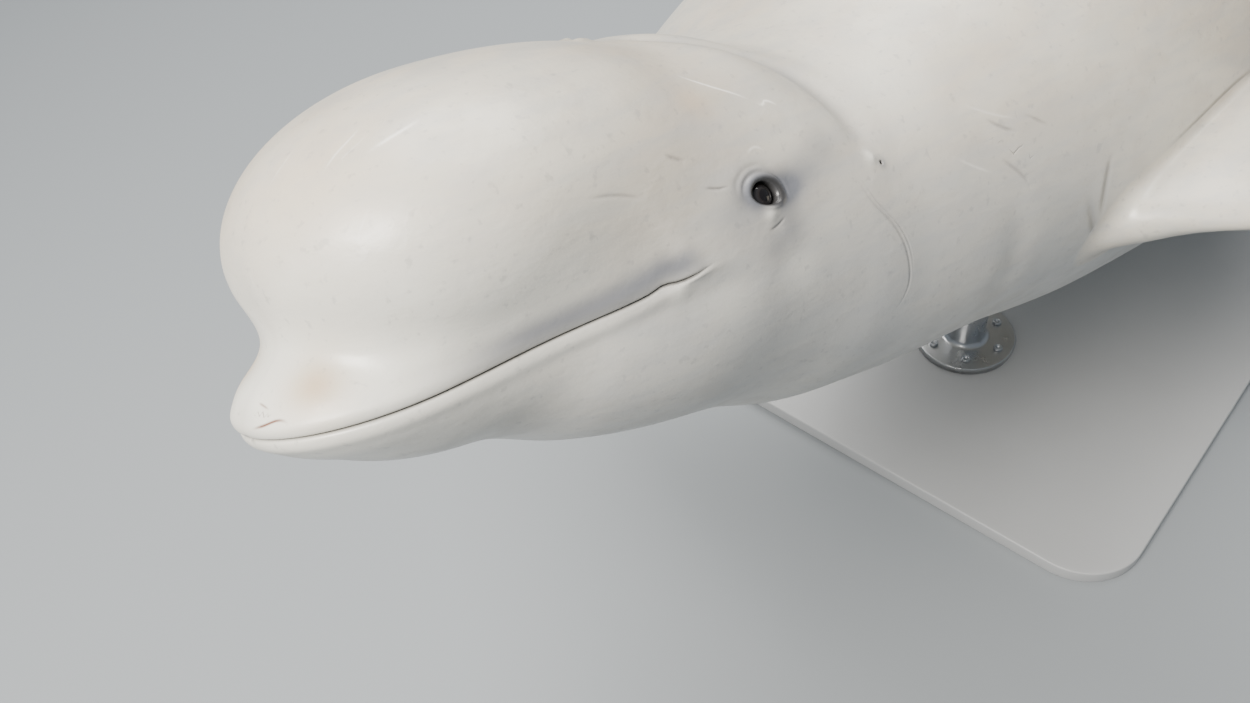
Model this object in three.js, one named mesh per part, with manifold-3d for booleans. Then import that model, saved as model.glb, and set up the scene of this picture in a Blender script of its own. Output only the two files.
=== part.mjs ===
// A beluga whale as a still, life-size museum model, banked on a plain display stand.
// Lengths are in millimetres. The whale is drawn along its own axis: x runs back from the tip of
// the snout, y to its right and z up. It is then turned and set on the stand.
import * as THREE from 'three';
import { mergeVertices } from 'three/addons/utils/BufferGeometryUtils.js';
import Module from 'manifold-3d';

const wasm = await Module();
wasm.setup();

const gap = 0.3;
const degree = Math.PI / 180;

// How the whale is held: left side rolled up, nose raised, belly clear of the base
const rollUp = 24 * degree;
const noseUp = 16 * degree;
const bellyClearance = 200;

// Rounded forms of the head: centre back and up, half length, half width, half height, tilt
const melon = { x: 210, z: 104, length: 178, width: 166, height: 112, tilt: 0 };
const cranium = { x: 325, z: 50, length: 183, width: 183, height: 150, tilt: 0 };
const cheeks = { x: 330, z: -13, length: 180, width: 182, height: 114, tilt: 0 };
const beak = { x: 162, z: 4, length: 168, width: 115, height: 59, tilt: -4 * degree };
const chin = { x: 212, z: -1, length: 153, width: 108, height: 59, tilt: 6 * degree };
const softness = { skull: 50, nape: 60, melon: 45, jaws: 30, beak: 35 };

// Stations along the trunk: distance back, height of the back, of the belly, and half width
const trunk = [
  [300, 95, -90, 140],
  [420, 177, -169, 207],
  [520, 163, -200, 231],
  [620, 169, -230, 262],
  [850, 213, -305, 329],
  [1200, 290, -380, 376],
  [1700, 338, -400, 370],
  [2200, 300, -340, 300],
  [2700, 220, -242, 200],
  [3200, 122, -148, 102],
  [3550, 60, -78, 52],
  [3850, 2, -18, 18],
];
const trunkStart = trunk[0][0];
const trunkEnd = trunk[trunk.length - 1][0];
const sectionPower = 2.15;

// The trunk rises behind the head, and the tail stock rises a little more
const neckBend = { from: 380, to: 750, x: 450, z: -20, rise: 7.5 * degree };
const tailBend = { from: 2300, to: 3300, x: 2700, z: 0, rise: 2 * degree };

// Where the named parts of the body meet
const neckFront = 530;
const neckBack = 730;
const tailFront = 2400;
const jawBack = { x: 287, throatX: 400, throatZ: -260 };

// Mouth, from its front to its corner
const mouth = { frontZ: 8, cornerX: 277, rise: 24, gap: 0.8, centreX: 150 };
const lip = { radius: 8, cornerRadius: 4, proud: 2.5, sweep: 122 * degree, steps: 30, sides: 6 };

// Eyes, ear openings and blowhole
const eye = { x: 355, z: 62, radius: 17, sunk: 1.5, halfLength: 12, halfHeight: 9, slant: -20 * degree };
const lid = { halfLength: 17, halfHeight: 13.5, radius: 5, sunk: 2.4, steps: 18, sides: 6 };
const socket = { depth: 12, narrowing: 0.8, flare: 1.4, sides: 16 };
const ear = { x: 485, z: 48, radius: 2.5, depth: 7, flare: 1.6, height: 3, sides: 8 };
const blowhole = {
  x: 372, radius: 30, sweep: 62 * degree, slotWidth: 1.6, slotDepth: 8, rim: 7, rimBehind: 5, rimSunk: 3.5,
  hornTaper: 0.35, steps: 14, sides: 8,
};

// Flippers: root on the left side, lengths, and the turns of the blade
const flipper = {
  x: 828, z: -96, length: 465, chord: 285, rootChord: 120, broadBy: 0.18, thickness: 58, sunk: 70,
  out: 80 * degree, raised: 8 * degree, twist: 20 * degree, curl: 55, sweep: 50,
  rootAlong: 0.45, broadAhead: 0.28, tipRoundness: 4.2, tipThickness: 0.18, steps: 22,
};

// Flukes, and the low ridge that stands in for a dorsal fin
const fluke = {
  rootX: 3490, notchX: 3880, span: 475, tipX: 3925, tipBack: 14, bulge: 100, thickness: 58, z: -8,
  sweepPower: 1.7, tipThickness: 0.1, steps: 34,
};
const bladeSides = 20;
const ridge = {
  from: 1950, to: 2700, halfWidth: 17, height: 17, sunk: 24, endHeight: 0.3, steps: 22, sides: 12,
};

// Display stand
const base = { length: 1900, width: 880, height: 30, corner: 110, shift: 1850 };
const rod = { radius: 36, sides: 24, flangeRadius: 95, flangeHeight: 16, footFillet: 6, footRise: 16 };
const rodPlaces = { front: 1300, rear: 2350 };

const skinColour = 0xdedbd2;
const jawColour = 0xe0ddd5;
const eyeColour = 0x17120f;
const standColour = 0xb9bab8;
const rodColour = 0x8f9294;

// The line inside the body from which the skin is drawn, and its rings
const spine = {
  front: 110, headEnd: 330, height: 10, middleFrom: 200, middleTo: 600, crowding: 1.15, endInset: 5,
};
const rings = { head: 24, trunk: 32, around: 52 };

// Room for the cuts that part the body
const cut = { ahead: 80, side: 400, wide: 2000, high: 3000, jawSteps: 24 };

function share(from, to, x) {
  const t = Math.min(1, Math.max(0, (x - from) / (to - from)));
  return t * t * (3 - 2 * t);
}

// Height or width of the trunk at x: a smooth curve through one column of its stations
function trunkAt(column, x) {
  const last = trunk.length - 1;
  const at = Math.min(trunkEnd, Math.max(trunkStart, x));
  let i = 0;
  while (i < last - 1 && at > trunk[i + 1][0]) i += 1;
  const slope = (k) => {
    const before = trunk[Math.max(0, k - 1)];
    const after = trunk[Math.min(last, k + 1)];
    return (after[column] - before[column]) / (after[0] - before[0]);
  };
  const h = trunk[i + 1][0] - trunk[i][0];
  const t = (at - trunk[i][0]) / h;
  const u = 1 - t;
  return (1 + 2 * t) * u * u * trunk[i][column] + t * u * u * h * slope(i)
    + t * t * (3 - 2 * t) * trunk[i + 1][column] - t * t * u * h * slope(i + 1);
}

// Turns a point about a bend's pivot, in the plane of symmetry
function turn(p, bend, angle) {
  const x = p.x - bend.x;
  const z = p.z - bend.z;
  const c = Math.cos(angle);
  const s = Math.sin(angle);
  return new THREE.Vector3(bend.x + x * c - z * s, p.y, bend.z + x * s + z * c);
}

function riseAt(x) {
  return neckBend.rise * share(neckBend.from, neckBend.to, x)
    + tailBend.rise * share(tailBend.from, tailBend.to, x);
}

function bent(p) {
  const tailTurned = turn(p, tailBend, tailBend.rise * share(tailBend.from, tailBend.to, p.x));
  return turn(tailTurned, neckBend, neckBend.rise * share(neckBend.from, neckBend.to, p.x));
}

function straightened(p) {
  const q = turn(p, neckBend, -neckBend.rise * share(neckBend.from, neckBend.to, p.x));
  return turn(q, tailBend, -tailBend.rise * share(tailBend.from, tailBend.to, q.x));
}

// Signed distance, nearly, to a rounded form of the head
function outsideForm(p, form) {
  const c = Math.cos(form.tilt);
  const s = Math.sin(form.tilt);
  const x = (p.x - form.x) * c + (p.z - form.z) * s;
  const z = -(p.x - form.x) * s + (p.z - form.z) * c;
  const near = Math.hypot(x / form.length, p.y / form.width, z / form.height);
  const slope = Math.hypot(x / form.length ** 2, p.y / form.width ** 2, z / form.height ** 2);
  return near * (near - 1) / Math.max(slope, 1e-9);
}

function outsideTrunk(p) {
  const q = straightened(p);
  const back = trunkAt(1, q.x);
  const belly = trunkAt(2, q.x);
  const halfWidth = trunkAt(3, q.x);
  const halfHeight = (back - belly) / 2;
  const across = Math.abs(q.y) / halfWidth;
  const up = Math.abs(q.z - (back + belly) / 2) / halfHeight;
  const rho = (across ** sectionPower + up ** sectionPower) ** (1 / sectionPower);
  return Math.max((rho - 1) * Math.min(halfWidth, halfHeight), trunkStart - q.x);
}

// Joins two forms with a rounded valley between them
function fused(a, b, width) {
  const h = Math.min(1, Math.max(0, 0.5 + 0.5 * (b - a) / width));
  return b * (1 - h) + a * h - width * h * (1 - h);
}

// Negative inside the flesh, positive outside, in millimetres near the skin
function outsideFlesh(p) {
  const skull = fused(outsideForm(p, cranium), outsideForm(p, cheeks), softness.skull);
  const neck = fused(skull, outsideTrunk(p), softness.nape);
  const forehead = fused(neck, outsideForm(p, melon), softness.melon);
  const jaws = fused(outsideForm(p, beak), outsideForm(p, chin), softness.jaws);
  return fused(forehead, jaws, softness.beak);
}

// The point where a ray from inside the flesh leaves it, or stands proud of it
function leave(origin, direction, proud = 0) {
  const step = 16;
  const point = (t) => origin.clone().addScaledVector(direction, t);
  let inner = 0;
  let outer = step;
  while (outsideFlesh(point(outer)) < proud) {
    inner = outer;
    outer += step;
  }
  for (let i = 0; i < 24; i += 1) {
    const middle = (inner + outer) / 2;
    if (outsideFlesh(point(middle)) < proud) inner = middle;
    else outer = middle;
  }
  return point((inner + outer) / 2);
}

function skinNormal(p) {
  const d = 1;
  const change = (x, y, z) => outsideFlesh(new THREE.Vector3(p.x + x, p.y + y, p.z + z))
    - outsideFlesh(new THREE.Vector3(p.x - x, p.y - y, p.z - z));
  return new THREE.Vector3(change(d, 0, 0), change(0, d, 0), change(0, 0, d)).normalize();
}

// A closed solid through rings of points, with a point in the middle of each end.
// Both halves of a ring are split alike, so that a thin blade's two faces never cross.
function loft(ringPoints, firstEnd, lastEnd) {
  const n = ringPoints[0].length;
  const points = [firstEnd, ...ringPoints.flat(), lastEnd];
  const last = points.length - 1;
  const at = (i, j) => 1 + i * n + (j % n);
  const faces = [];
  for (let j = 0; j < n; j += 1) {
    faces.push(0, at(0, j + 1), at(0, j));
    faces.push(last, at(ringPoints.length - 1, j), at(ringPoints.length - 1, j + 1));
  }
  for (let i = 0; i + 1 < ringPoints.length; i += 1) {
    for (let j = 0; j < n; j += 1) {
      const [a, b, c, d] = [at(i, j), at(i, j + 1), at(i + 1, j + 1), at(i + 1, j)];
      if (j < n / 2) faces.push(a, b, c, a, c, d);
      else faces.push(a, b, d, b, c, d);
    }
  }
  const volume = faces.reduce((sum, v, k) => (k % 3 ? sum
    : sum + points[v].dot(points[faces[k + 1]].clone().cross(points[faces[k + 2]]))), 0);
  if (volume < 0) faces.reverse();
  const geometry = new THREE.BufferGeometry();
  geometry.setAttribute('position',
    new THREE.Float32BufferAttribute(points.flatMap((p) => [p.x, p.y, p.z]), 3));
  geometry.setIndex(faces);
  return geometry;
}

function solid(geometry) {
  const bare = geometry.clone();
  bare.deleteAttribute('normal');
  bare.deleteAttribute('uv');
  const merged = mergeVertices(bare, 1e-4);
  return new wasm.Manifold(new wasm.Mesh({
    numProp: 3,
    vertProperties: new Float32Array(merged.attributes.position.array),
    triVerts: new Uint32Array(merged.index.array),
  }));
}

function largest(shape) {
  return shape.decompose().sort((a, b) => b.volume() - a.volume())[0];
}

function named(name, shape, material) {
  const { vertProperties, triVerts } = largest(shape).getMesh();
  const geometry = new THREE.BufferGeometry();
  geometry.setAttribute('position', new THREE.Float32BufferAttribute(vertProperties, 3));
  geometry.setIndex(Array.from(triVerts));
  geometry.computeVertexNormals();
  const mesh = new THREE.Mesh(geometry, material);
  mesh.name = name;
  return mesh;
}

function finish(color, roughness, metalness = 0) {
  return new THREE.MeshStandardMaterial({ color, roughness, metalness });
}

// One ring of rays round the spine: cones that open over the head, then flat rings on the trunk
function spineRing(position, proud) {
  const onHead = Math.min(1, position);
  const opening = Math.sin(onHead * Math.PI / 2) * Math.PI / 2;
  const headX = spine.front + (spine.headEnd - spine.front) * onHead ** 2;
  const trunkLength = trunkEnd + 2 * proud - spine.endInset - spine.headEnd;
  const x = position <= 1 ? headX : spine.headEnd + (position - 1) ** spine.crowding * trunkLength;
  const middle = (trunkAt(1, x) + trunkAt(2, x)) / 2;
  const z = spine.height + (middle - spine.height) * share(spine.middleFrom, spine.middleTo, x);
  const origin = bent(new THREE.Vector3(x, 0, z));
  const lean = riseAt(x);
  const directions = [];
  for (let j = 0; j < rings.around; j += 1) {
    const around = 2 * Math.PI * j / rings.around;
    const side = Math.sin(opening) * Math.sin(around);
    const up = Math.sin(opening) * Math.cos(around);
    directions.push(new THREE.Vector3(-Math.cos(opening) - up * Math.sin(lean), side, up * Math.cos(lean)));
  }
  return { origin, directions };
}

function fleshGeometry(proud) {
  const positions = [];
  for (let i = 1; i <= rings.head; i += 1) positions.push(i / rings.head);
  for (let i = 1; i <= rings.trunk; i += 1) positions.push(1 + i / rings.trunk);
  const skin = positions.map((position) => {
    const { origin, directions } = spineRing(position, proud);
    return directions.map((direction) => leave(origin, direction, proud));
  });
  const tip = leave(new THREE.Vector3(spine.front, 0, spine.height), new THREE.Vector3(-1, 0, 0), proud);
  const end = spineRing(2, proud).origin;
  return loft(skin, tip, end);
}

function mouthHeight(x) {
  return mouth.frontZ + mouth.rise * (Math.max(0, x) / mouth.cornerX) ** 2;
}

// A point of the mouth's line, by its angle round the beak from the front
function mouthPoint(angle) {
  let point = new THREE.Vector3(0, 0, mouth.frontZ);
  for (let i = 0; i < 6; i += 1) {
    const origin = new THREE.Vector3(mouth.centreX, 0, mouthHeight(point.x));
    point = leave(origin, new THREE.Vector3(-Math.cos(angle), Math.sin(angle), 0));
  }
  return point;
}

// A closed tube of the given sides along points, with a radius for each
function tube(points, radii, sides, ups) {
  const ringPoints = points.map((p, i) => {
    const ahead = points[Math.min(points.length - 1, i + 1)].clone();
    const along = ahead.sub(points[Math.max(0, i - 1)]).normalize();
    const side = ups[i].clone().cross(along).normalize();
    const up = along.clone().cross(side);
    return Array.from({ length: sides }, (_, j) => {
      const angle = 2 * Math.PI * j / sides;
      return p.clone().addScaledVector(side, radii[i][0] * Math.cos(angle))
        .addScaledVector(up, radii[i][1] * Math.sin(angle));
    });
  });
  return loft(ringPoints, points[0], points[points.length - 1]);
}

// Raised rolls of the upper and lower lips, half sunk in the flesh on each side of the mouth
function lipRoll(side) {
  const points = [];
  const radii = [];
  const ups = [];
  for (let i = 0; i <= lip.steps; i += 1) {
    const t = 2 * i / lip.steps - 1;
    const radius = lip.radius + (lip.cornerRadius - lip.radius) * Math.abs(t) ** 3;
    const on = mouthPoint(t * lip.sweep);
    const normal = skinNormal(on);
    points.push(on.clone().addScaledVector(normal, lip.proud - radius)
      .add(new THREE.Vector3(0, 0, side * radius)));
    radii.push([radius, radius]);
    ups.push(new THREE.Vector3(0, 0, 1));
  }
  return solid(tube(points, radii, lip.sides, ups));
}

// The space of the lower jaw: below the mouth's line and ahead of the throat, grown by a margin
function jawSpace(margin) {
  const shape = new THREE.Shape();
  shape.moveTo(-cut.ahead, -cut.side);
  for (let i = 0; i <= cut.jawSteps; i += 1) {
    const x = -cut.ahead + (jawBack.x + margin + cut.ahead) * i / cut.jawSteps;
    shape.lineTo(x, mouthHeight(x) - mouth.gap / 2 + margin * mouth.gap / gap);
  }
  shape.lineTo(jawBack.throatX + margin, jawBack.throatZ);
  shape.lineTo(jawBack.throatX + margin, -cut.side);
  const geometry = new THREE.ExtrudeGeometry(shape, { depth: 2 * cut.side, bevelEnabled: false });
  geometry.rotateX(Math.PI / 2);
  geometry.translate(0, cut.side, 0);
  return solid(geometry);
}

// All of the body between two distances from the snout
function lengthSpace(from, to) {
  const geometry = new THREE.BoxGeometry(to - from, cut.wide, cut.high);
  geometry.translate((from + to) / 2, 0, 0);
  return solid(geometry);
}

// Frame on the skin: its point, outward normal and two directions along it
function skinFrame(origin, direction, slant) {
  const point = leave(origin, direction);
  const normal = skinNormal(point);
  const flat = new THREE.Vector3(Math.cos(slant), 0, Math.sin(slant));
  const along = flat.addScaledVector(normal, -flat.dot(normal)).normalize();
  return { point, normal, along, across: normal.clone().cross(along) };
}

function ovalRing(frame, halfLength, halfHeight, height, count) {
  return Array.from({ length: count }, (_, j) => {
    const angle = 2 * Math.PI * j / count;
    return frame.point.clone().addScaledVector(frame.normal, height)
      .addScaledVector(frame.along, halfLength * Math.cos(angle))
      .addScaledVector(frame.across, halfHeight * Math.sin(angle));
  });
}

function eyeFrame(side) {
  return skinFrame(new THREE.Vector3(eye.x, 0, eye.z), new THREE.Vector3(0, side, 0), eye.slant);
}

function eyeball(side, radius) {
  const frame = eyeFrame(side);
  const geometry = new THREE.SphereGeometry(radius, 16, 10);
  const centre = frame.point.addScaledVector(frame.normal, -eye.sunk - eye.radius);
  geometry.translate(centre.x, centre.y, centre.z);
  return solid(geometry);
}

// The ring of the lids, which stands a little proud round the eye
function lids(side) {
  const frame = eyeFrame(side);
  const ring = ovalRing(frame, lid.halfLength, lid.halfHeight, -lid.sunk, lid.steps);
  const positions = [];
  const faces = [];
  ring.forEach((p, i) => {
    const outward = p.clone().sub(frame.point).addScaledVector(frame.normal, lid.sunk).normalize();
    for (let j = 0; j < lid.sides; j += 1) {
      const angle = 2 * Math.PI * j / lid.sides;
      const q = p.clone().addScaledVector(outward, lid.radius * Math.cos(angle))
        .addScaledVector(frame.normal, lid.radius * Math.sin(angle));
      positions.push(q.x, q.y, q.z);
      const next = (j + 1) % lid.sides;
      const ahead = (i + 1) % ring.length;
      const a = i * lid.sides + j;
      const b = i * lid.sides + next;
      const c = ahead * lid.sides + next;
      const d = ahead * lid.sides + j;
      faces.push(a, c, b, a, d, c);
    }
  });
  const geometry = new THREE.BufferGeometry();
  geometry.setAttribute('position', new THREE.Float32BufferAttribute(positions, 3));
  geometry.setIndex(faces);
  const shape = solid(geometry);
  if (shape.volume() > 0) return shape;
  geometry.setIndex(faces.reverse());
  return solid(geometry);
}

function eyeOpening(side) {
  const frame = eyeFrame(side);
  const levels = [[socket.narrowing, -socket.depth], [1, 0], [socket.flare, socket.depth]];
  const walls = levels.map(([size, height]) => (
    ovalRing(frame, eye.halfLength * size, eye.halfHeight * size, height, socket.sides)));
  const end = (height) => frame.point.clone().addScaledVector(frame.normal, height);
  return solid(loft(walls, end(-socket.depth), end(socket.depth)));
}

function earOpening(side) {
  const frame = skinFrame(new THREE.Vector3(ear.x, 0, ear.z), new THREE.Vector3(0, side, 0), 0);
  const flared = ear.radius * ear.flare;
  const mouthRing = ovalRing(frame, flared, flared, ear.height, ear.sides);
  const throat = ovalRing(frame, ear.radius, ear.radius, 0, ear.sides);
  const end = (height) => frame.point.clone().addScaledVector(frame.normal, height);
  return solid(loft([mouthRing, throat], end(ear.height), end(-ear.depth)));
}

// The crescent of the blowhole, its horns pointing forward, or the rim behind it
function blowholeArc(radius, halfWidth, halfDepth, sunk) {
  const points = [];
  const radii = [];
  const ups = [];
  for (let i = 0; i <= blowhole.steps; i += 1) {
    const angle = (2 * i / blowhole.steps - 1) * blowhole.sweep;
    const swell = Math.cos(angle / blowhole.sweep * Math.PI / 2);
    const taper = blowhole.hornTaper + (1 - blowhole.hornTaper) * swell;
    const x = blowhole.x - blowhole.radius + radius * Math.cos(angle);
    const on = leave(new THREE.Vector3(x, radius * Math.sin(angle), 0), new THREE.Vector3(0, 0, 1));
    const normal = skinNormal(on);
    points.push(on.addScaledVector(normal, -sunk));
    radii.push([halfWidth * taper, halfDepth * taper]);
    ups.push(normal);
  }
  return solid(tube(points, radii, blowhole.sides, ups));
}

// Section of a blade: round in front, thin behind, as ring points from 0 to 1 and back
function bladeSection(count) {
  return Array.from({ length: count }, (_, j) => {
    const around = 2 * Math.PI * j / count;
    const along = (1 - Math.cos(around)) / 2;
    const side = j === 0 || j === count / 2 ? 0 : Math.sign(Math.sin(around));
    return { along, height: side * Math.sqrt(Math.max(0, along * (1 - along))) * (1.25 - 0.5 * along) };
  });
}

// A flipper: a broad rounded paddle, its root sunk in the body and its tip curled up. It broadens
// mostly behind, so that its leading edge is nearly straight
function flipperBlade(side) {
  const rootSkin = leave(new THREE.Vector3(flipper.x, 0, flipper.z), new THREE.Vector3(0, -1, 0));
  const span = new THREE.Vector3(Math.cos(flipper.out) * Math.cos(flipper.raised),
    -Math.sin(flipper.out) * Math.cos(flipper.raised), Math.sin(flipper.raised));
  const flat = new THREE.Vector3(0, 0, 1).cross(span).normalize();
  const chord = flat.clone().applyAxisAngle(span, flipper.twist);
  if (chord.x < 0) chord.negate();
  const up = span.clone().cross(chord);
  if (up.z < 0) up.negate();
  const section = bladeSection(bladeSides);
  const skin = [];
  for (let i = 0; i <= flipper.steps; i += 1) {
    const t = i / flipper.steps;
    const reach = -flipper.sunk + (flipper.length + flipper.sunk) * (1 - (1 - t) ** 1.35);
    const out = Math.max(0, reach) / flipper.length;
    const broader = (flipper.chord - flipper.rootChord) * share(0, flipper.broadBy, out);
    const front = -flipper.rootAlong * flipper.rootChord - flipper.broadAhead * broader;
    const width = flipper.rootChord + broader;
    const narrowed = Math.max(0.03, Math.sqrt(1 - out ** flipper.tipRoundness));
    const thinned = flipper.tipThickness + (1 - flipper.tipThickness) * (1 - out) ** 1.2;
    const thick = flipper.thickness * thinned * Math.max(0.12, Math.sqrt(1 - out ** 5));
    const centre = rootSkin.clone().addScaledVector(span, reach)
      .addScaledVector(up, flipper.curl * out ** 2.6)
      .addScaledVector(chord, front + width / 2 + flipper.sweep * out ** 2);
    skin.push(section.map(({ along, height }) => centre.clone()
      .addScaledVector(chord, (along - 0.5) * width * narrowed)
      .addScaledVector(up, height * thick)));
  }
  const middle = (ring) => ring[0].clone().lerp(ring[ring.length / 2], 0.5);
  const mirror = (p) => new THREE.Vector3(p.x, side < 0 ? p.y : -p.y, p.z);
  const turned = skin.map((ring) => ring.map(mirror));
  return solid(loft(turned, middle(turned[0]), middle(turned[flipper.steps])));
}

// Both flukes as one blade: leading edge swept back, trailing edge bulging on each side of the notch
function flukeBlade() {
  const section = bladeSection(bladeSides);
  const skin = [];
  for (let i = 0; i <= fluke.steps; i += 1) {
    const s = 2 * i / fluke.steps - 1;
    const t = Math.min(1, Math.abs(Math.sin(s * Math.PI / 2)));
    const leading = fluke.rootX + (fluke.tipX - fluke.rootX) * t ** fluke.sweepPower;
    const trailing = fluke.notchX + (fluke.tipX + fluke.tipBack - fluke.notchX) * t
      + fluke.bulge * Math.sin(Math.PI * t ** 0.75) ** 0.9;
    const thick = fluke.thickness * (fluke.tipThickness + (1 - fluke.tipThickness) * (1 - t) ** 1.6);
    const y = Math.sign(s) * t * fluke.span;
    skin.push(section.map(({ along, height }) => bent(new THREE.Vector3(
      leading + (trailing - leading) * along, y, fluke.z + height * thick))));
  }
  const middle = (ring) => ring[0].clone().lerp(ring[ring.length / 2], 0.5);
  return solid(loft(skin, middle(skin[0]), middle(skin[fluke.steps])));
}

// The low ridge along the middle of the back
function ridgeBlade() {
  const points = [];
  const radii = [];
  const ups = [];
  for (let i = 0; i <= ridge.steps; i += 1) {
    const t = i / ridge.steps;
    const x = ridge.from + (ridge.to - ridge.from) * t;
    const swell = ridge.endHeight + (1 - ridge.endHeight) * Math.sin(Math.PI * t) ** 0.7;
    const height = ridge.sunk + ridge.height * swell;
    const back = trunkAt(1, x);
    points.push(bent(new THREE.Vector3(x, 0, back + ridge.height * swell - height / 2)));
    radii.push([ridge.halfWidth, height / 2]);
    ups.push(new THREE.Vector3(0, 0, 1));
  }
  return solid(tube(points, radii, ridge.sides, ups));
}

const skinFinish = finish(skinColour, 0.42);
const jawFinish = finish(jawColour, 0.42);
const eyeFinish = finish(eyeColour, 0.06);
const standFinish = finish(standColour, 0.5);
const rodFinish = finish(rodColour, 0.35, 0.9);

// The flesh as one solid, with what stands on it and the openings in it
const grown = fleshGeometry(gap);
const kept = solid(grown);
const rimRadius = blowhole.radius + blowhole.rimBehind;
let flesh = solid(fleshGeometry(0)).add(lipRoll(1)).add(lipRoll(-1));
flesh = flesh.add(blowholeArc(rimRadius, blowhole.rim, blowhole.rim, blowhole.rimSunk));
flesh = flesh.subtract(blowholeArc(blowhole.radius, blowhole.slotWidth, blowhole.slotDepth, 0));
for (const side of [-1, 1]) {
  flesh = flesh.add(lids(side)).subtract(eyeOpening(side)).subtract(eyeball(side, eye.radius + gap));
  flesh = flesh.subtract(earOpening(side));
}

const front = flesh.intersect(lengthSpace(-cut.ahead, neckFront - gap / 2));
const rolled = new THREE.Group();
rolled.rotation.x = -rollUp;
rolled.add(
  named('head', front.subtract(jawSpace(gap)), skinFinish),
  named('lower_jaw', front.intersect(jawSpace(0)), jawFinish),
  named('neck', flesh.intersect(lengthSpace(neckFront + gap / 2, neckBack - gap / 2)), skinFinish),
  named('torso', flesh.intersect(lengthSpace(neckBack + gap / 2, tailFront - gap / 2)), skinFinish),
  named('tail_stock', flesh.intersect(lengthSpace(tailFront + gap / 2, fluke.tipX)), skinFinish),
  named('dorsal_ridge', ridgeBlade().subtract(kept), skinFinish),
);
const flukes = flukeBlade().subtract(kept);
for (const [word, side] of [['left', -1], ['right', 1]]) {
  const half = new THREE.BoxGeometry(cut.wide, cut.wide, cut.high);
  half.translate(trunkEnd, side * (cut.wide + gap) / 2, 0);
  rolled.add(
    named(`eye_${word}`, eyeball(side, eye.radius), eyeFinish),
    named(`flipper_${word}`, flipperBlade(side).subtract(kept), skinFinish),
    named(`fluke_${word}`, flukes.intersect(solid(half)), skinFinish),
  );
}

const whale = new THREE.Group();
whale.rotation.y = noseUp;
whale.add(rolled);
whale.updateMatrixWorld(true);
const lowest = new THREE.Box3().setFromObject(whale, true).min.z;
whale.position.set(0, 0, base.height + bellyClearance - lowest);
whale.updateMatrixWorld(true);

// The stand: a flat base with rounded corners, and two rods that end at the belly
function basePlate() {
  const x = base.length / 2;
  const y = base.width / 2;
  const r = base.corner;
  const outline = new THREE.Shape();
  outline.absarc(x - r, y - r, r, 0, Math.PI / 2);
  outline.absarc(-x + r, y - r, r, Math.PI / 2, Math.PI);
  outline.absarc(-x + r, -y + r, r, Math.PI, 1.5 * Math.PI);
  outline.absarc(x - r, -y + r, r, 1.5 * Math.PI, 2 * Math.PI);
  const geometry = new THREE.ExtrudeGeometry(outline,
    { depth: base.height, bevelEnabled: false, curveSegments: 8 });
  geometry.translate(base.shift, 0, 0);
  return solid(geometry);
}

const belly = solid(grown.applyMatrix4(rolled.matrixWorld));

function standRod(along) {
  const middle = bent(new THREE.Vector3(along, 0, (trunkAt(1, along) + trunkAt(2, along)) / 2))
    .applyMatrix4(rolled.matrixWorld);
  const foot = base.height + gap;
  const profile = [
    new THREE.Vector2(0, foot),
    new THREE.Vector2(rod.flangeRadius, foot),
    new THREE.Vector2(rod.flangeRadius, foot + rod.flangeHeight),
    new THREE.Vector2(rod.radius + rod.footFillet, foot + rod.flangeHeight + rod.footFillet),
    new THREE.Vector2(rod.radius, foot + rod.flangeHeight + rod.footRise),
    new THREE.Vector2(rod.radius, middle.z),
    new THREE.Vector2(0, middle.z),
  ];
  const geometry = new THREE.LatheGeometry(profile, rod.sides);
  geometry.rotateX(Math.PI / 2);
  geometry.translate(middle.x, middle.y, 0);
  return solid(geometry).subtract(belly);
}

const model = new THREE.Group();
model.add(
  whale,
  named('stand_base', basePlate(), standFinish),
  named('stand_rod_front', standRod(rodPlaces.front), rodFinish),
  named('stand_rod_rear', standRod(rodPlaces.rear), rodFinish),
);

// The origin is at the middle of the underside of the whole model's box
model.updateMatrixWorld(true);
const size = new THREE.Box3().setFromObject(model, true);
model.position.set(-(size.min.x + size.max.x) / 2, -(size.min.y + size.max.y) / 2, -size.min.z);

export default model;
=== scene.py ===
"""A life-size beluga whale, banked on a plain display stand, as a museum shows it.

Lengths are in metres. The whale is drawn along its own axis, as the solids are: x runs back from
the tip of the snout, y to its right and z up. It is then turned and set on the stand.
"""
import math

import bmesh
import bpy
import numpy as np
from mathutils import Matrix, Vector


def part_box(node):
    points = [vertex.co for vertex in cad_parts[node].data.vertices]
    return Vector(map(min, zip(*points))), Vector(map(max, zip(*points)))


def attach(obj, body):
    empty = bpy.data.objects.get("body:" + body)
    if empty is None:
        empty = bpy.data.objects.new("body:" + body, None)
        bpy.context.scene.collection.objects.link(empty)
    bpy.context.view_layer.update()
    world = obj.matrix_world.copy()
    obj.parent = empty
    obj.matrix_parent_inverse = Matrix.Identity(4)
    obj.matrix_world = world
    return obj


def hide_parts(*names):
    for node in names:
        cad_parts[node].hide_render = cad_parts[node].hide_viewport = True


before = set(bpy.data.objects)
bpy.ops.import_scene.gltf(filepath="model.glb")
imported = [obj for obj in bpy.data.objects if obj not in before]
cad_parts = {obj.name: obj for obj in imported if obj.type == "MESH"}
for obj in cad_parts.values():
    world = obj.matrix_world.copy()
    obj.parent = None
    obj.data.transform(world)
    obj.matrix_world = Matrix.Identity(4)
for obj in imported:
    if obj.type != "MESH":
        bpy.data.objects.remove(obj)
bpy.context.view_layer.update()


# Pose: the whale lies banked with its left side up and its nose raised. Its place comes from the
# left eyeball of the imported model, whose centre is 18.5 mm under the skin beside the cheek.

ROLL_UP = math.radians(24)
NOSE_UP = math.radians(16)
EYEBALL_RADIUS = 0.017
EYE_PLACE = np.array([0.355, -0.1966, 0.062])

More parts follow.
